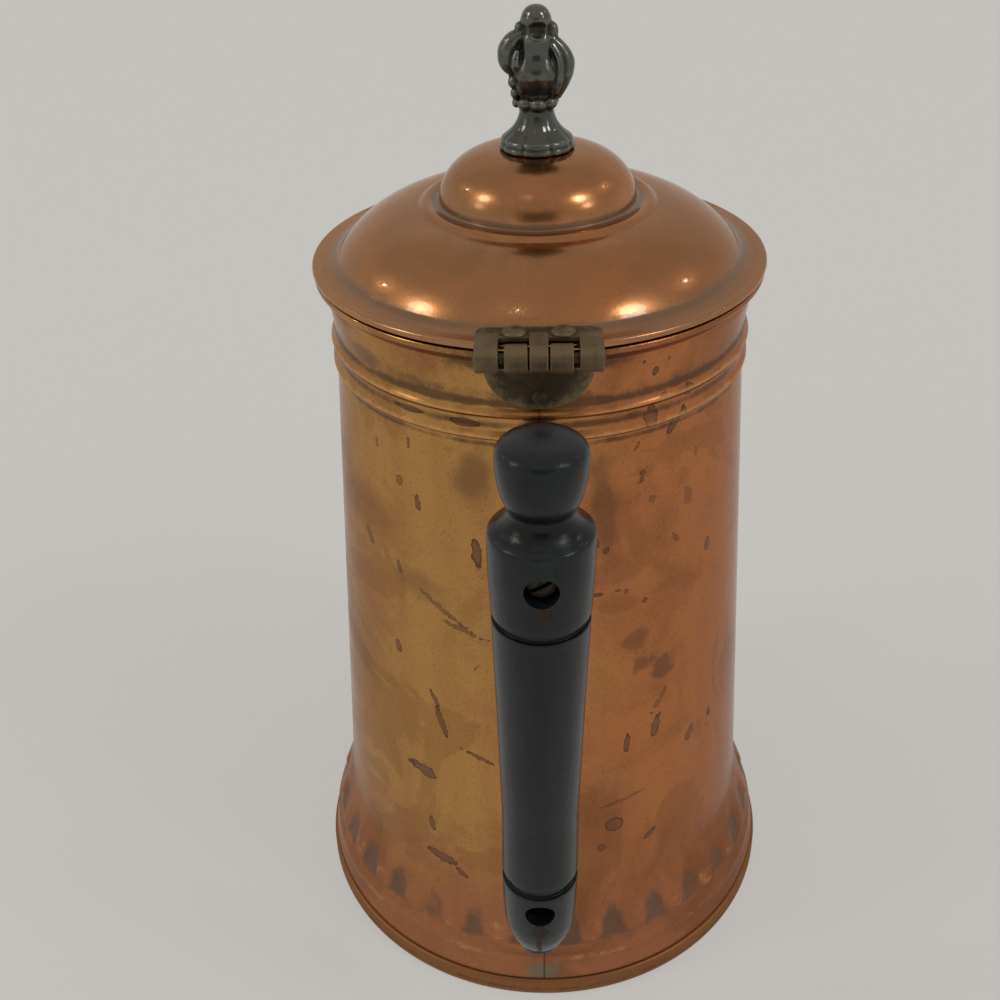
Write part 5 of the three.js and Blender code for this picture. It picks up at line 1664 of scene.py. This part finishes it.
@dataclass
class Handle(Assembly):
    """The turned wooden handle with its two screws, the arms that carry it and their rivets.

    Attributes:
        reach: Distance of the handle's axis from the pot's.
        radius: Radius of the barrel.
        bottom: Height of the lower end.
        top: Height of the knob's top.
        screws: Heights of the upper and lower screws.
        sunk: How much deeper than the wood's bore each screw sits.
        lean: How far the lower end stands towards -X, in degrees.
        pivot: Height at which the lean leaves the handle in its place.
        boss: Distance from an arm's axis to the near end of its pad.
        groove: Depth of the grooves.
        grooves: Where each groove starts and ends, as shares of the length.
        turning: Share of the radius and share of the length of each corner.
    """

    reach: float = 93.05
    radius: float = 11.39
    bottom: float = 54.5
    top: float = 206.4
    screws: tuple[float, float] = (176.8, 75.1)
    sunk: tuple[float, float] = (1.4, 3.6)
    lean: float = 0.6
    pivot: float = 165.0
    boss: float = 5.2
    groove: float = 0.9
    grooves: tuple[tuple[float, float], ...] = ((0.1755, 0.1945), (0.7155, 0.7275))
    turning: tuple[tuple[float, float], ...] = (
        (0.0, 0.0), (0.42, 0.0), (0.49, 0.005), (0.5, 0.016), (0.52, 0.019), (0.6, 0.0245), (0.67, 0.037),
        (0.745, 0.055), (0.79, 0.077), (0.815, 0.108), (0.83, 0.165), (0.83, 0.1745), (0.83, 0.1755),
        (0.83, 0.1945), (0.83, 0.1955), (0.815, 0.318), (0.875, 0.516), (0.945, 0.708), (0.948, 0.7145),
        (0.948, 0.7155), (0.955, 0.7275), (0.955, 0.7285), (0.98, 0.77), (1.0, 0.806), (1.0, 0.8387),
        (0.998, 0.8512), (0.99, 0.8578), (0.978, 0.8604), (0.96, 0.8621), (0.93, 0.8637), (0.89, 0.8657),
        (0.84, 0.8683), (0.785, 0.8716), (0.735, 0.8756), (0.69, 0.8802), (0.655, 0.8855), (0.637, 0.8907),
        (0.633, 0.8953), (0.645, 0.8999), (0.678, 0.9059), (0.73, 0.9157), (0.775, 0.9276), (0.808, 0.9408),
        (0.832, 0.9572), (0.84, 0.9704), (0.836, 0.978), (0.82, 0.9845), (0.785, 0.9894), (0.72, 0.9935),
        (0.62, 0.9963), (0.48, 0.9982), (0.25, 0.9995), (0.0, 1.0),
    )

    def profile(self) -> Array:
        """Gives the turned profile, with its corners softly rounded.

        Returns:
            Points of radius and height, from the lower end to the knob.
        """
        rows = []
        for share, length in self.turning:
            cut = self.groove if any(low <= length <= high for low, high in self.grooves) else 0.0
            rows.append((share * self.radius - cut, self.bottom + length * (self.top - self.bottom)))
        return solid_line(rows, 0.16, 2.5, 6.0)

    def face(self, height: float) -> float:
        """Gives the Y of the handle's outer side at a height."""
        line = self.profile()
        return -self.reach - float(np.interp(height, line[:, 1], line[:, 0]))

    def rod(self, name: str, radius: float, height: float, deep: float) -> Piece:
        """Builds a plain rod that cuts into the outer side of the wood.

        Args:
            name: Name of the rod.
            radius: Its radius.
            height: Its height on the handle.
            deep: How far it goes into the wood.

        Returns:
            The rod, which starts 4 mm outside the wood.
        """
        outside = 4.0
        length = outside + deep
        line = np.array([(0, 0), (radius, 0), (radius, length), (0, length)], float)
        rod = place(revolve(line, 48), (0, self.face(height) - outside, height), (0, 1, 0))
        return build(name, [rod], [self.finishes.black])

    def leaned(self, piece: Piece) -> Piece:
        """Leans a finished piece: X grows by the tangent of the lean times the height over the pivot.

        Args:
            piece: The piece, which is changed.

        Returns:
            The same piece.
        """
        co = points_of(piece.data)
        co[:, 0] += (co[:, 2] - self.pivot * MM) * math.tan(math.radians(self.lean))
        move_points(piece.data, co)
        return piece

    def wood(self) -> Piece:
        """Turns the handle and bores its two counterbored holes.

        Returns:
            The piece.
        """
        patch = place(revolve(self.profile(), 128, False, None, None, 10.0), (0, -self.reach, 0), (0, 0, 1))
        piece = build("handle_wood", [patch], [self.finishes.black], 50.0)
        cutters = []
        for height, deeper in zip(self.screws, self.sunk):
            cutters += [self.rod("bore", 3.7, height, 4.2 + deeper), self.rod("hole", 2.2, height, 56.0)]
        return self.leaned(carve(piece, cutters, 30.0))

    def screw(self, name: str, height: float, deeper: float, angle: float) -> Piece:
        """Turns a round-edged screw with a sawn slot.

        Args:
            name: Name of the piece.
            height: Height of the screw.
            deeper: How far it is sunk.
            angle: Turn of its slot in degrees.

        Returns:
            The piece.
        """
        seat = self.face(height) + 3.9 + deeper
        line = [(0, -2.5), (1.8, -2.45), (3.0, -2.1), (3.3, -1.4), (3.3, 0), (1.9, 0), (1.9, 27), (0, 30)]
        turned = place(revolve(solid_line(line, 0.1, 3.0, 12.0), 48), (0, seat, height), (0, 1, 0))
        piece = build(name, [turned], [self.finishes.iron])
        slot = slab(np.array([(-5, -0.45), (5, -0.45), (5, 0.45), (-5, 0.45)], float), -1.0, 1.0, 0.01)
        turn = math.radians(angle)
        spin = np.array([[math.cos(turn), 0, -math.sin(turn)], [0, 1, 0], [math.sin(turn), 0, math.cos(turn)]])
        swapped = slot.points[:, :, [0, 2, 1]] * np.array([1, -1, 1])
        slot.points = swapped @ spin.T + np.array([0, seat - 2.4, height])
        return self.leaned(carve(piece, [build("slot", [slot], [self.finishes.iron])], 35.0))

    def bracket(self, name: str, height: float, side: int) -> Piece:
        """Builds an arm and the leaf-shaped pad that is riveted to the wall.

        The pad is its outline shrunk in rings towards its middle, laid on the wall's cone, with a rounded edge.

        Args:
            name: Name of the piece.
            height: Height of the arm.
            side: 1 if the pad runs up from the arm, -1 if it runs down.

        Returns:
            The piece.
        """
        wall = wall_radius(height)
        length = self.reach - wall - self.radius * 0.83 + 1.2
        line = [(0, -1.2), (5.4, -1.2), (5.2, 1.5), (4.6, 4.0), (3.9, 7.5), (3.8, length - 9), (4.4, length - 6.5),
                (5.1, length - 4.5), (5.2, length - 0.6), (4.9, length), (0, length)]
        arm = place(revolve(solid_line(line, 0.35, 1.5, 8.0), 64), (0, -wall - 1.2, height), (0, -1, 0))
        near, far = height - side * self.boss, height - side * self.boss + side * 29.0
        turn = np.linspace(0, 2 * math.pi, 96, endpoint=False)
        share = (1 - np.cos(turn)) / 2
        width = 7.5 * np.abs(np.sin(turn)) ** 0.75 * np.where(share < 0.3, 1.0, 1.0 - 0.35 * (share - 0.3) / 0.7)
        ring = np.stack([np.sign(np.sin(turn)) * width * side, near + (far - near) * share], 1)
        layers = ((0.0, 0.3), (0.6, 0.3), (0.97, 0.3), (1.0, 0.5), (1.0, 1.7), (0.96, 2.1), (0.6, 2.1), (0.0, 2.1))
        rows = lay(ring, (0.0, (near + far) / 2), layers, wall_radius)
        pad = Patch(rows, ridge=np.array([0, 0, 0.5, 1, 1, 0.5, 0, 0]), hollow=np.zeros(8))
        return build(name, [arm, pad], [self.finishes.brass])

    def rivet(self, name: str, height: float) -> Piece:
        """Turns a domed rivet through a pad and the wall, with a flat tail inside.

        Args:
            name: Name of the piece.
            height: Its height on the wall.

        Returns:
            The piece.
        """
        seat = wall_radius(height) + 2.1
        line = [(0, -5.0), (2.3, -5.0), (2.3, -3.9), (1.5, -3.9), (1.5, 0), (2.6, 0), (2.45, 0.5), (1.7, 0.95),
                (0.8, 1.1), (0, 1.12)]
        turned = revolve(solid_line(line, 0.08, 1.0, 12.0), 36)
        return build(name, [place(turned, (0, -seat, height), (0, -1, 0))], [self.finishes.rim])

    def dress(self) -> None:
        """Builds the handle's pieces and hangs them on the body."""
        adopt(self.wood(), "body", "black_wood", "handle")
        for where, height, deeper, angle in zip(("upper", "lower"), self.screws, self.sunk, (30.0, 75.0)):
            adopt(self.screw(f"screw_{where}", height, deeper, angle), "body", "iron", f"handle_screw_{where}")
            side = -1 if where == "upper" else 1
            adopt(self.bracket(f"arm_{where}", height, side), "body", "iron", f"handle_bracket_{where}")
            for step, end in ((10.5, "high" if side < 0 else "low"), (18.5, "low" if side < 0 else "high")):
                rivet = self.rivet(f"arm_rivet_{where}_{end}", height + side * step)
                adopt(rivet, "body", "copper", f"bracket_rivet_{where}_{end}")


@dataclass
class Hinge(Assembly):
    """The brass hinge: a leaf on the lid with three knuckles, a half-round leaf on the collar with two, and the pin.

    Attributes:
        axis: Distance of the hinge line from the pot's axis, and its height.
        knuckle: Outer radius of a knuckle.
        pin: Radius of the pin.
        lid_spans: Where each knuckle of the lid leaf starts and ends along X.
        body_spans: The same for the other leaf.
    """

    axis: tuple[float, float] = (61.6, 208.1)
    knuckle: float = 3.1
    pin: float = 1.15
    lid_spans: tuple[tuple[float, float], ...] = ((-14.0, -8.8), (-2.05, 2.05), (8.8, 14.0))
    body_spans: tuple[tuple[float, float], ...] = ((-7.5, -2.4), (2.4, 7.5))

    def barrel(self, start: float, end: float) -> Patch:
        """Turns one knuckle as a tube about the hinge line, with broken edges.

        Args:
            start: Where it starts along X.
            end: Where it ends.

        Returns:
            The closed surface.
        """
        inner, outer, length, edge = self.pin + 0.2, self.knuckle, end - start, 0.22
        line = [(inner, length), (inner, 0), (outer - edge, 0), (outer, edge), (outer, length - edge),
                (outer - edge, length), (inner, length)]
        tube = revolve(smooth_line(line, 0.05, 1.6, 20.0)[:-1], 56, True)
        return place(tube, (start, -self.axis[0], self.axis[1]), (1, 0, 0))

    def strap(self, start: float, end: float, line: Line, thick: float) -> Patch:
        """Bends a strip of sheet along a line in the YZ plane, between two values of X.

        The strip is the line offset to both sides of itself, carried across X, with its rows as a closed loop.

        Args:
            start: Where it starts along X.
            end: Where it ends.
            line: Corners of the line in Y and Z.
            thick: Thickness of the sheet.

        Returns:
            The closed surface.
        """
        path = smooth_line(line, 0.35, 0.8, 10.0)
        heading = np.gradient(path, axis=0)
        heading /= np.linalg.norm(heading, axis=1)[:, None]
        normal = np.stack([-heading[:, 1], heading[:, 0]], 1) * thick / 2
        spots = [(start, 0.0), (start, 0.94), (start + 0.15, 1.0), (end - 0.15, 1.0), (end, 0.94), (end, 0.0)]
        rows = []
        for x, grow in spots:
            loop = np.concatenate([path + normal * grow, (path - normal * grow)[::-1]])
            rows.append(np.column_stack([np.full(len(loop), x), loop]))
        return Patch(np.stack(rows[::-1]), ridge=np.array([0, 0.5, 1, 1, 0.5, 0]), hollow=np.zeros(6))

    def lid_leaf(self) -> Piece:
        """Builds the lid leaf: a plate with rounded corners and three rolled knuckles.

        Returns:
            The piece.
        """
        top = self.axis[1] + self.knuckle
        y, back, half, round_off = -self.axis[0], -self.axis[0] + 9.3, 14.0, 2.2
        corner = np.radians(np.linspace(0, 90, 9))
        inset = np.array([half - round_off, back - round_off])
        bent = inset + round_off * np.stack([np.cos(corner), np.sin(corner)], 1)
        edge = y + 3.9
        front = [(x, edge) for x in (-half, -half / 2, 0.0, half / 2, half)]
        outline = np.concatenate([front, bent, bent[::-1] * np.array([-1.0, 1.0])])
        patches = [slab(outline, top - 1.1, top, 0.2)]
        for start, end in self.lid_spans:
            patches.append(self.barrel(start, end))
            line = [(edge + 2.4, top - 0.53), (y + 1.2, top - 0.53), (y - 0.4, top - 0.58)]
            patches.append(self.strap(start, end, line, 1.1))
        return build("hinge_lid_leaf_plate", patches, [self.finishes.brass])

    def body_leaf(self) -> Piece:
        """Builds the half-round leaf on the collar and the two knuckles above its bend.

        The plate is a half ellipse, laid on the collar's curve.

        Returns:
            The piece.
        """
        bend, low, half = 202.4, 191.9, 12.5
        edge = bend + 0.2
        turn = np.linspace(math.pi, 2 * math.pi, 60)
        x = half * np.sign(np.cos(turn)) * np.abs(np.cos(turn)) ** 0.85
        bottom = np.stack([x, edge + (edge - low) * np.sin(turn)], 1)
        top = np.stack([np.linspace(half, -half, 24)[1:-1], np.full(22, edge)], 1)
        layers = ((0.0, 0.3), (0.5, 0.3), (0.98, 0.3), (1.0, 0.45), (1.0, 1.2), (0.975, 1.4), (0.5, 1.4), (0.0, 1.4))
        rows = lay(np.concatenate([bottom, top]), (0.0, bend - 3.2), layers, collar_radius)
        ridge = np.array([0, 0, 0.5, 1, 1, 0.6, 0, 0])
        patches = [Patch(rows, ridge=ridge, hollow=np.zeros(8), finish=np.ones(8, int))]
        y, z = -self.axis[0], self.axis[1]
        for start, end in self.body_spans:
            patches.append(self.barrel(start, end))
            line = [(-55.4, bend - 0.8), (-56.6, bend + 0.5), (-59.8, z - 2.9), (y - 0.2, z - 2.6)]
            patches.append(self.strap(start, end, line, 1.0))
        return build("hinge_collar_leaf", patches, [self.finishes.brass, self.finishes.grime])

    def pin_rod(self) -> Piece:
        """Turns the pin with its two spread heads.

        Returns:
            The piece.
        """
        line = [(0, -14.45), (1.0, -14.42), (1.4, -14.3), (1.4, -14.1), (1.15, -14.05), (1.15, 14.05), (1.4, 14.1),
                (1.4, 14.3), (1.0, 14.42), (0, 14.45)]
        turned = revolve(solid_line(line, 0.06, 4.0, 14.0), 32)
        rod = place(turned, (0, -self.axis[0], self.axis[1]), (1, 0, 0))
        return build("hinge_pin_rod", [rod], [self.finishes.brass])

    @staticmethod
    def rivet(
        name: str, seat: Sequence[float], axis: Sequence[float], head: float, grip: float, finish: Material
    ) -> Piece:
        """Turns a low domed rivet with its shank and tail behind its seat.

        Args:
            name: Name of the piece.
            seat: Middle of the seat of its head.
            axis: Direction that the head faces.
            head: Radius of the head.
            grip: Thickness that it holds together.
            finish: Its material.

        Returns:
            The piece.
        """
        rise = head * 0.42
        line = [(0, -grip - 0.5), (head * 0.7, -grip - 0.5), (head * 0.7, -grip), (head * 0.45, -grip),
                (head * 0.45, 0), (head, 0), (head * 0.97, rise * 0.35), (head * 0.75, rise * 0.75),
                (head * 0.4, rise * 0.96), (0, rise)]
        turned = place(revolve(solid_line(line, 0.07, 1.0, 10.0), 40), seat, axis)
        turned.ridge = turned.ridge * 0.6
        return build(name, [turned], [finish])

    def dress(self) -> None:
        """Builds the hinge and hangs each leaf on its own body."""
        adopt(self.lid_leaf(), "lid", "brass", "hinge_lid_leaf")
        adopt(self.body_leaf(), "body", "brass", "hinge_body_leaf")
        adopt(self.pin_rod(), "body", "brass", "hinge_pin")
        top, brass, iron = self.axis[1] + self.knuckle, self.finishes.brass, self.finishes.iron
        for side, x in (("left", -5.4), ("right", 5.4)):
            rivet = self.rivet(f"leaf_rivet_{side}", (x, -55.4, top), (0, 0, 1), 2.8, 3.2, brass)
            adopt(rivet, "lid", "brass", f"lid_rivet_{side}")
        height = 195.3
        seat = (0, -float(collar_radius(height)) - 1.4, height)
        rivet = self.rivet("leaf_rivet_collar", seat, (0, -1, 0), 1.7, 2.9, iron)
        adopt(rivet, "body", "iron", "hinge_body_rivet")


@dataclass
class Spout(Assembly):
    """The gooseneck spout with its soldered collar.

    Attributes:
        root: Height of the spout's root on the wall.
        root_radius: Radius at the root.
        tip_radius: Radius at the lip.
        tip: Height of the lip.
        reach: Distance of the lip's edge from the pot's axis.
        lean: Angle of the root above level, in degrees.
        sides: Number of steps around.
        steps: Number of steps along each side of the sheet.
    """

    root: float = 66.0
    root_radius: float = 16.5
    tip_radius: float = 6.4
    tip: float = 191.0
    reach: float = 104.6
    lean: float = 32.0
    sides: int = 96
    steps: int = 110

    def centre_line(self) -> Array:
        """Gives the centre line: a centripetal Catmull-Rom curve through six points, evenly spaced by length.

        Returns:
            Points of X, Y and Z.
        """
        wall = wall_radius(self.root)
        start = np.array([wall, self.root])
        heading = np.array([math.cos(math.radians(self.lean)), math.sin(math.radians(self.lean))])
        reach, rise = self.reach - self.tip_radius * 0.99 - wall, self.tip - self.root
        knots = [start - heading * self.root_radius / 2, start + heading * self.root_radius / 2]
        knots += [start + np.array([a * reach, b * rise]) for a, b in ((0.5, 0.2), (0.66, 0.46), (0.74, 0.74), (1, 1))]
        points = np.array([2 * knots[0] - knots[1], *knots, 2 * knots[-1] - knots[-2]])
        pieces = []
        for k in range(1, len(points) - 2):
            p = points[k - 1:k + 3]
            gap = np.linalg.norm(np.diff(p, axis=0), axis=1) ** 0.5
            first = (p[1] - p[0]) / gap[0] - (p[2] - p[0]) / (gap[0] + gap[1]) + (p[2] - p[1]) / gap[1]
            second = (p[2] - p[1]) / gap[1] - (p[3] - p[1]) / (gap[1] + gap[2]) + (p[3] - p[2]) / gap[2]
            first, second = first * gap[1], second * gap[1]
            t = np.linspace(0, 1, 60, endpoint=False)[:, None]
            square, cube = 3 * (p[2] - p[1]) - 2 * first - second, 2 * (p[1] - p[2]) + first + second
            pieces.append(p[1] + first * t + square * t ** 2 + cube * t ** 3)
        line = np.concatenate([*pieces, points[-2][None]])
        length = np.concatenate([[0.0], np.cumsum(np.linalg.norm(np.diff(line, axis=0), axis=1))])
        even = np.linspace(0, length[-1], 120)
        return np.stack([np.zeros(120), np.interp(even, length, line[:, 0]), np.interp(even, length, line[:, 1])], 1)

    def sheet(self, share: Array, thin: float) -> Array:
        """Gives one side of the spout's sheet: rings square to the centre line, wider towards the root.

        Args:
            share: Share of the length at each point, one column for each point of a ring.
            thin: How far the side lies inside the outer one.

        Returns:
            The points.
        """
        path = self.centre_line()
        along = np.linspace(0, 1, len(path))
        heading = np.gradient(path, axis=0)
        heading /= np.linalg.norm(heading, axis=1)[:, None]
        centre = np.stack([np.interp(share, along, path[:, k]) for k in range(3)], -1)
        ahead = np.stack([np.interp(share, along, heading[:, k]) for k in range(3)], -1)
        across = np.array([1.0, 0.0, 0.0])
        angle = -2 * math.pi * np.arange(self.sides) / self.sides
        ring = np.cos(angle)[:, None] * across + np.sin(angle)[:, None] * np.cross(ahead, across)
        radius = self.tip_radius + (self.root_radius - self.tip_radius) * (1 - share) ** 1.7 - thin
        return centre + ring * radius[..., None]

    def tube(self) -> Patch:
        """Sweeps the spout from the wall to the lip and back inside. Each line starts where it leaves the wall.

        Returns:
            The surface, with the outside first.
        """
        walls = []
        for thin in (0.0, 1.0):
            tried = np.repeat(np.linspace(0, 0.3, 400)[:, None], self.sides, 1)
            points = self.sheet(tried, thin)
            buried = np.hypot(points[..., 0], points[..., 1]) < wall_radius(points[..., 2]) + 0.25
            first = np.where(buried.any(0), len(tried) - 1 - buried[::-1].argmax(0), 0)
            root = tried[first, 0][None, :]
            share = root + (1 - 0.0008 * thin - root) * np.linspace(0, 1, self.steps)[:, None]
            walls.append(self.sheet(share, thin))
        points = np.concatenate([walls[0], walls[1][::-1]])
        count = 2 * self.steps
        finish = np.where(np.arange(count) < self.steps, 0, 1)
        along = np.concatenate([np.arange(self.steps), np.arange(self.steps)[::-1]]) * 1.45
        across = np.arange(self.sides + 1.0)
        return Patch(points, True, True, across, along, np.zeros(count), np.zeros(count), finish)

    def collar(self) -> Patch:
        """Lays an oval collar on the wall round the root: rings grown outwards and lifted off the wall.

        Returns:
            The surface.
        """
        turn = np.linspace(0, 2 * math.pi, 120, endpoint=False)
        rows = []
        lean = math.radians(self.lean)
        for grow, lift in ((14.5, 0.05), (19.9, 0.05), (20.4, 0.2), (20.4, 0.8), (19.8, 1.4), (17.6, 1.7), (14.5, 2.6)):
            x, z = grow * np.cos(turn), self.root + grow * np.sin(turn) / math.cos(lean)
            y = np.sqrt(wall_radius(z) ** 2 - x ** 2) + lift
            rows.append(np.stack([-x, y, z], 1))
        ridge, hollow = np.array([0, 0.3, 1, 1, 0.4, 0, 0]), np.array([0, 0, 0, 0, 0, 0.5, 1])
        return Patch(np.stack(rows), True, ridge=ridge, hollow=hollow)

    def dress(self) -> None:
        """Builds the spout and hangs it on the body."""
        finishes = [self.finishes.spout, self.finishes.tinned]
        adopt(build("spout_neck", [self.tube(), self.collar()], finishes), "body", "copper", "spout")


@dataclass
class Studio:
    """The pale floor, the soft light and the camera.

    Attributes:
        pale: Colour of the floor and of everything far away.
        camera_place: Place of the camera in metres.
        pitch: How far the camera looks down, in degrees.
        turn: How far it looks to the left, in degrees.
        roll: How far it is tilted, in degrees.
        lens: Focal length for a 36 mm film.
    """

    pale: Colour = field(default_factory=lambda: paint(202, 201, 198))
    camera_place: tuple[float, float, float] = (0.0, -0.2948, 0.3236)
    pitch: float = 33.056
    turn: float = 2.29
    roll: float = -1.7587
    lens: float = 43.2

    def camera(self) -> None:
        """Places the camera as the photograph was taken."""
        turn, pitch, roll = (math.radians(v) for v in (self.turn, self.pitch, self.roll))
        ahead = np.array([-math.sin(turn) * math.cos(pitch), math.cos(turn) * math.cos(pitch), -math.sin(pitch)])
        right = np.array([math.cos(turn), math.sin(turn), 0.0])
        up = np.cross(right, ahead)
        across = right * math.cos(roll) + up * math.sin(roll)
        above = -right * math.sin(roll) + up * math.cos(roll)
        data = bpy.data.cameras.new("camera")
        data.lens, data.sensor_width = self.lens, 36.0
        data.clip_start, data.clip_end = 0.01, 50.0
        camera = bpy.data.objects.new("camera", data)
        turned = Matrix((across, above, -ahead)).transposed().to_4x4()
        camera.matrix_world = Matrix.Translation(Vector(self.camera_place)) @ turned
        bpy.context.scene.collection.objects.link(camera)
        bpy.context.scene.camera = camera

    @staticmethod
    def lamp(name: str, azimuth: float, height: float, width: float, strength: float, colour: Colour) -> None:
        """Hangs a far lamp of a given width as seen from the pot.

        Args:
            name: Name of the lamp.
            azimuth: Direction of the lamp in degrees, 0 towards the camera and 90 towards +X.
            height: Angle above level, in degrees.
            width: Angle that the lamp fills, in degrees. A wide one throws a soft shadow.
            strength: Strength of the light.
            colour: Colour of the light.
        """
        turn, up = math.radians(azimuth), math.radians(height)
        towards = Vector((math.sin(turn) * math.cos(up), -math.cos(turn) * math.cos(up), math.sin(up)))
        data = bpy.data.lights.new(name, "SUN")
        data.energy, data.angle, data.color = strength, math.radians(width), colour[:3]
        lamp = bpy.data.objects.new(name, data)
        lamp.rotation_mode = "QUATERNION"
        lamp.rotation_quaternion = (-towards).to_track_quat("-Z", "Y")
        bpy.context.scene.collection.objects.link(lamp)

    @staticmethod
    def seen(graph: Graph) -> Socket:
        """Splits what is seen from what lights the pot.

        Args:
            graph: The material's graph.

        Returns:
            1 for what the camera, metal and glass see, 0 for the rest.
        """
        path = graph.add("ShaderNodeLightPath")
        shiny = graph.most(path.outputs["Is Glossy Ray"], path.outputs["Is Transmission Ray"])
        return graph.most(path.outputs["Is Camera Ray"], shiny)

    def ground(self, effects: Effects) -> None:
        """Lays the floor, which curves up into a backdrop far behind and shows half of its shadow.

        Args:
            effects: The shared shader groups.
        """
        span = np.linspace(-4000, 4000, 9)
        run = smooth_line([(-4000, 0), (3000, 0), (4200, 1200), (4200, 4000)], 260.0, 400.0, 6.0)
        points = np.stack([np.stack([np.full(len(run), x), run[:, 0], run[:, 1]], 1) for x in span], 1)
        made = Finish("pale floor", effects)
        graph = made.graph
        mottle = graph.noise(graph.place(), 3.0, 3.0)
        colour = graph.blend(graph.times(mottle, 0.05), self.pale, paint(190, 188, 183))
        made.close(colour, 0.8, 0.0, None, 0, 0)
        glow = graph.add("ShaderNodeEmission", {"Color": colour, "Strength": 1.22})
        mix = graph.add("ShaderNodeMixShader", {0: graph.times(self.seen(graph), 0.52)})
        graph.tree.links.new(made.shader.outputs[0], mix.inputs[1])
        graph.tree.links.new(glow.outputs[0], mix.inputs[2])
        graph.tree.links.new(mix.outputs[0], made.output.inputs["Surface"])
        across = np.arange(len(span) + 1.0)
        build("floor", [Patch(points, False, False, across)], [made.material])

    def world(self) -> None:
        """Sets a plain grey surround, dimmer overhead and dark behind the camera, as pale as the floor elsewhere."""
        world = bpy.data.worlds.new("surround")
        bpy.context.scene.world = world
        world.use_nodes = True
        tree = world.node_tree
        tree.nodes.clear()
        graph = Graph(tree)
        towards = graph.add("ShaderNodeTexCoord").outputs["Generated"]
        across, ahead, height = graph.add("ShaderNodeSeparateXYZ", {0: towards}).outputs
        sky = graph.blend(graph.smooth(height, 0.0, 0.5), self.pale, paint(186, 180, 172))
        aside = graph.minus(1.0, graph.smooth(graph.math("ABSOLUTE", across), 0.22, 0.5))
        behind = graph.times(aside, graph.smooth(graph.times(ahead, -1.0), 0.3, 0.6))
        low = graph.smooth(height, 0.02, 0.12)
        low = graph.times(low, graph.minus(1.0, graph.smooth(height, 0.4, 0.62)))
        sky = graph.blend(graph.times(behind, low), sky, paint(106, 100, 92))
        background = graph.add("ShaderNodeBackground", {"Color": sky, "Strength": 1.0})
        output = graph.add("ShaderNodeOutputWorld")
        tree.links.new(background.outputs[0], output.inputs["Surface"])

    def set_up(self, effects: Effects) -> None:
        """Builds the whole studio.

        Args:
            effects: The shared shader groups.
        """
        self.camera()
        self.ground(effects)
        self.world()
        warm, cool = paint(255, 248, 238), paint(252, 252, 255)
        self.lamp("left window", -79.0, 38.0, 13.0, 0.29, warm)
        self.lamp("right window", 64.0, 44.0, 13.0, 0.33, cool)
        self.lamp("left window sill", -75.0, 22.0, 11.0, 0.07, warm)
        self.lamp("right window sill", 64.0, 27.0, 11.0, 0.1, cool)
        self.lamp("left bulb", -110.0, 31.0, 1.2, 0.03, warm)
        self.lamp("right bulb", 108.0, 35.0, 1.2, 0.03, warm)
        self.lamp("front bulb", -19.0, 64.0, 1.2, 0.015, warm)
        log.info("studio is set")


def dress_small_nodes(finishes: Finishes) -> None:
    """Gives the carried-over nodes inside the lid and behind the spout their finishes.

    Args:
        finishes: The materials.
    """
    dressed = (("spout_strainer", finishes.tinned), ("finial_washer", finishes.tinned), ("finial_screw", finishes.iron))
    for node, material in dressed:
        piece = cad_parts[node]
        piece.data.materials.clear()
        piece.data.materials.append(material)
        log.info("%s keeps its solid", node)


def main() -> None:
    """Builds every sub-assembly in turn, then the studio."""
    logging.basicConfig(level=logging.INFO, format="%(name)s: %(message)s")
    bpy.context.scene.view_settings.view_transform = "Standard"
    effects = Effects()
    finishes = Finishes(effects)
    for kind in (Vessel, Lid, Finial, Handle, Hinge, Spout):
        log.info("building %s", kind.__name__)
        kind(finishes).dress()
    dress_small_nodes(finishes)
    Studio().set_up(effects)


if __name__ == "__main__":
    main()
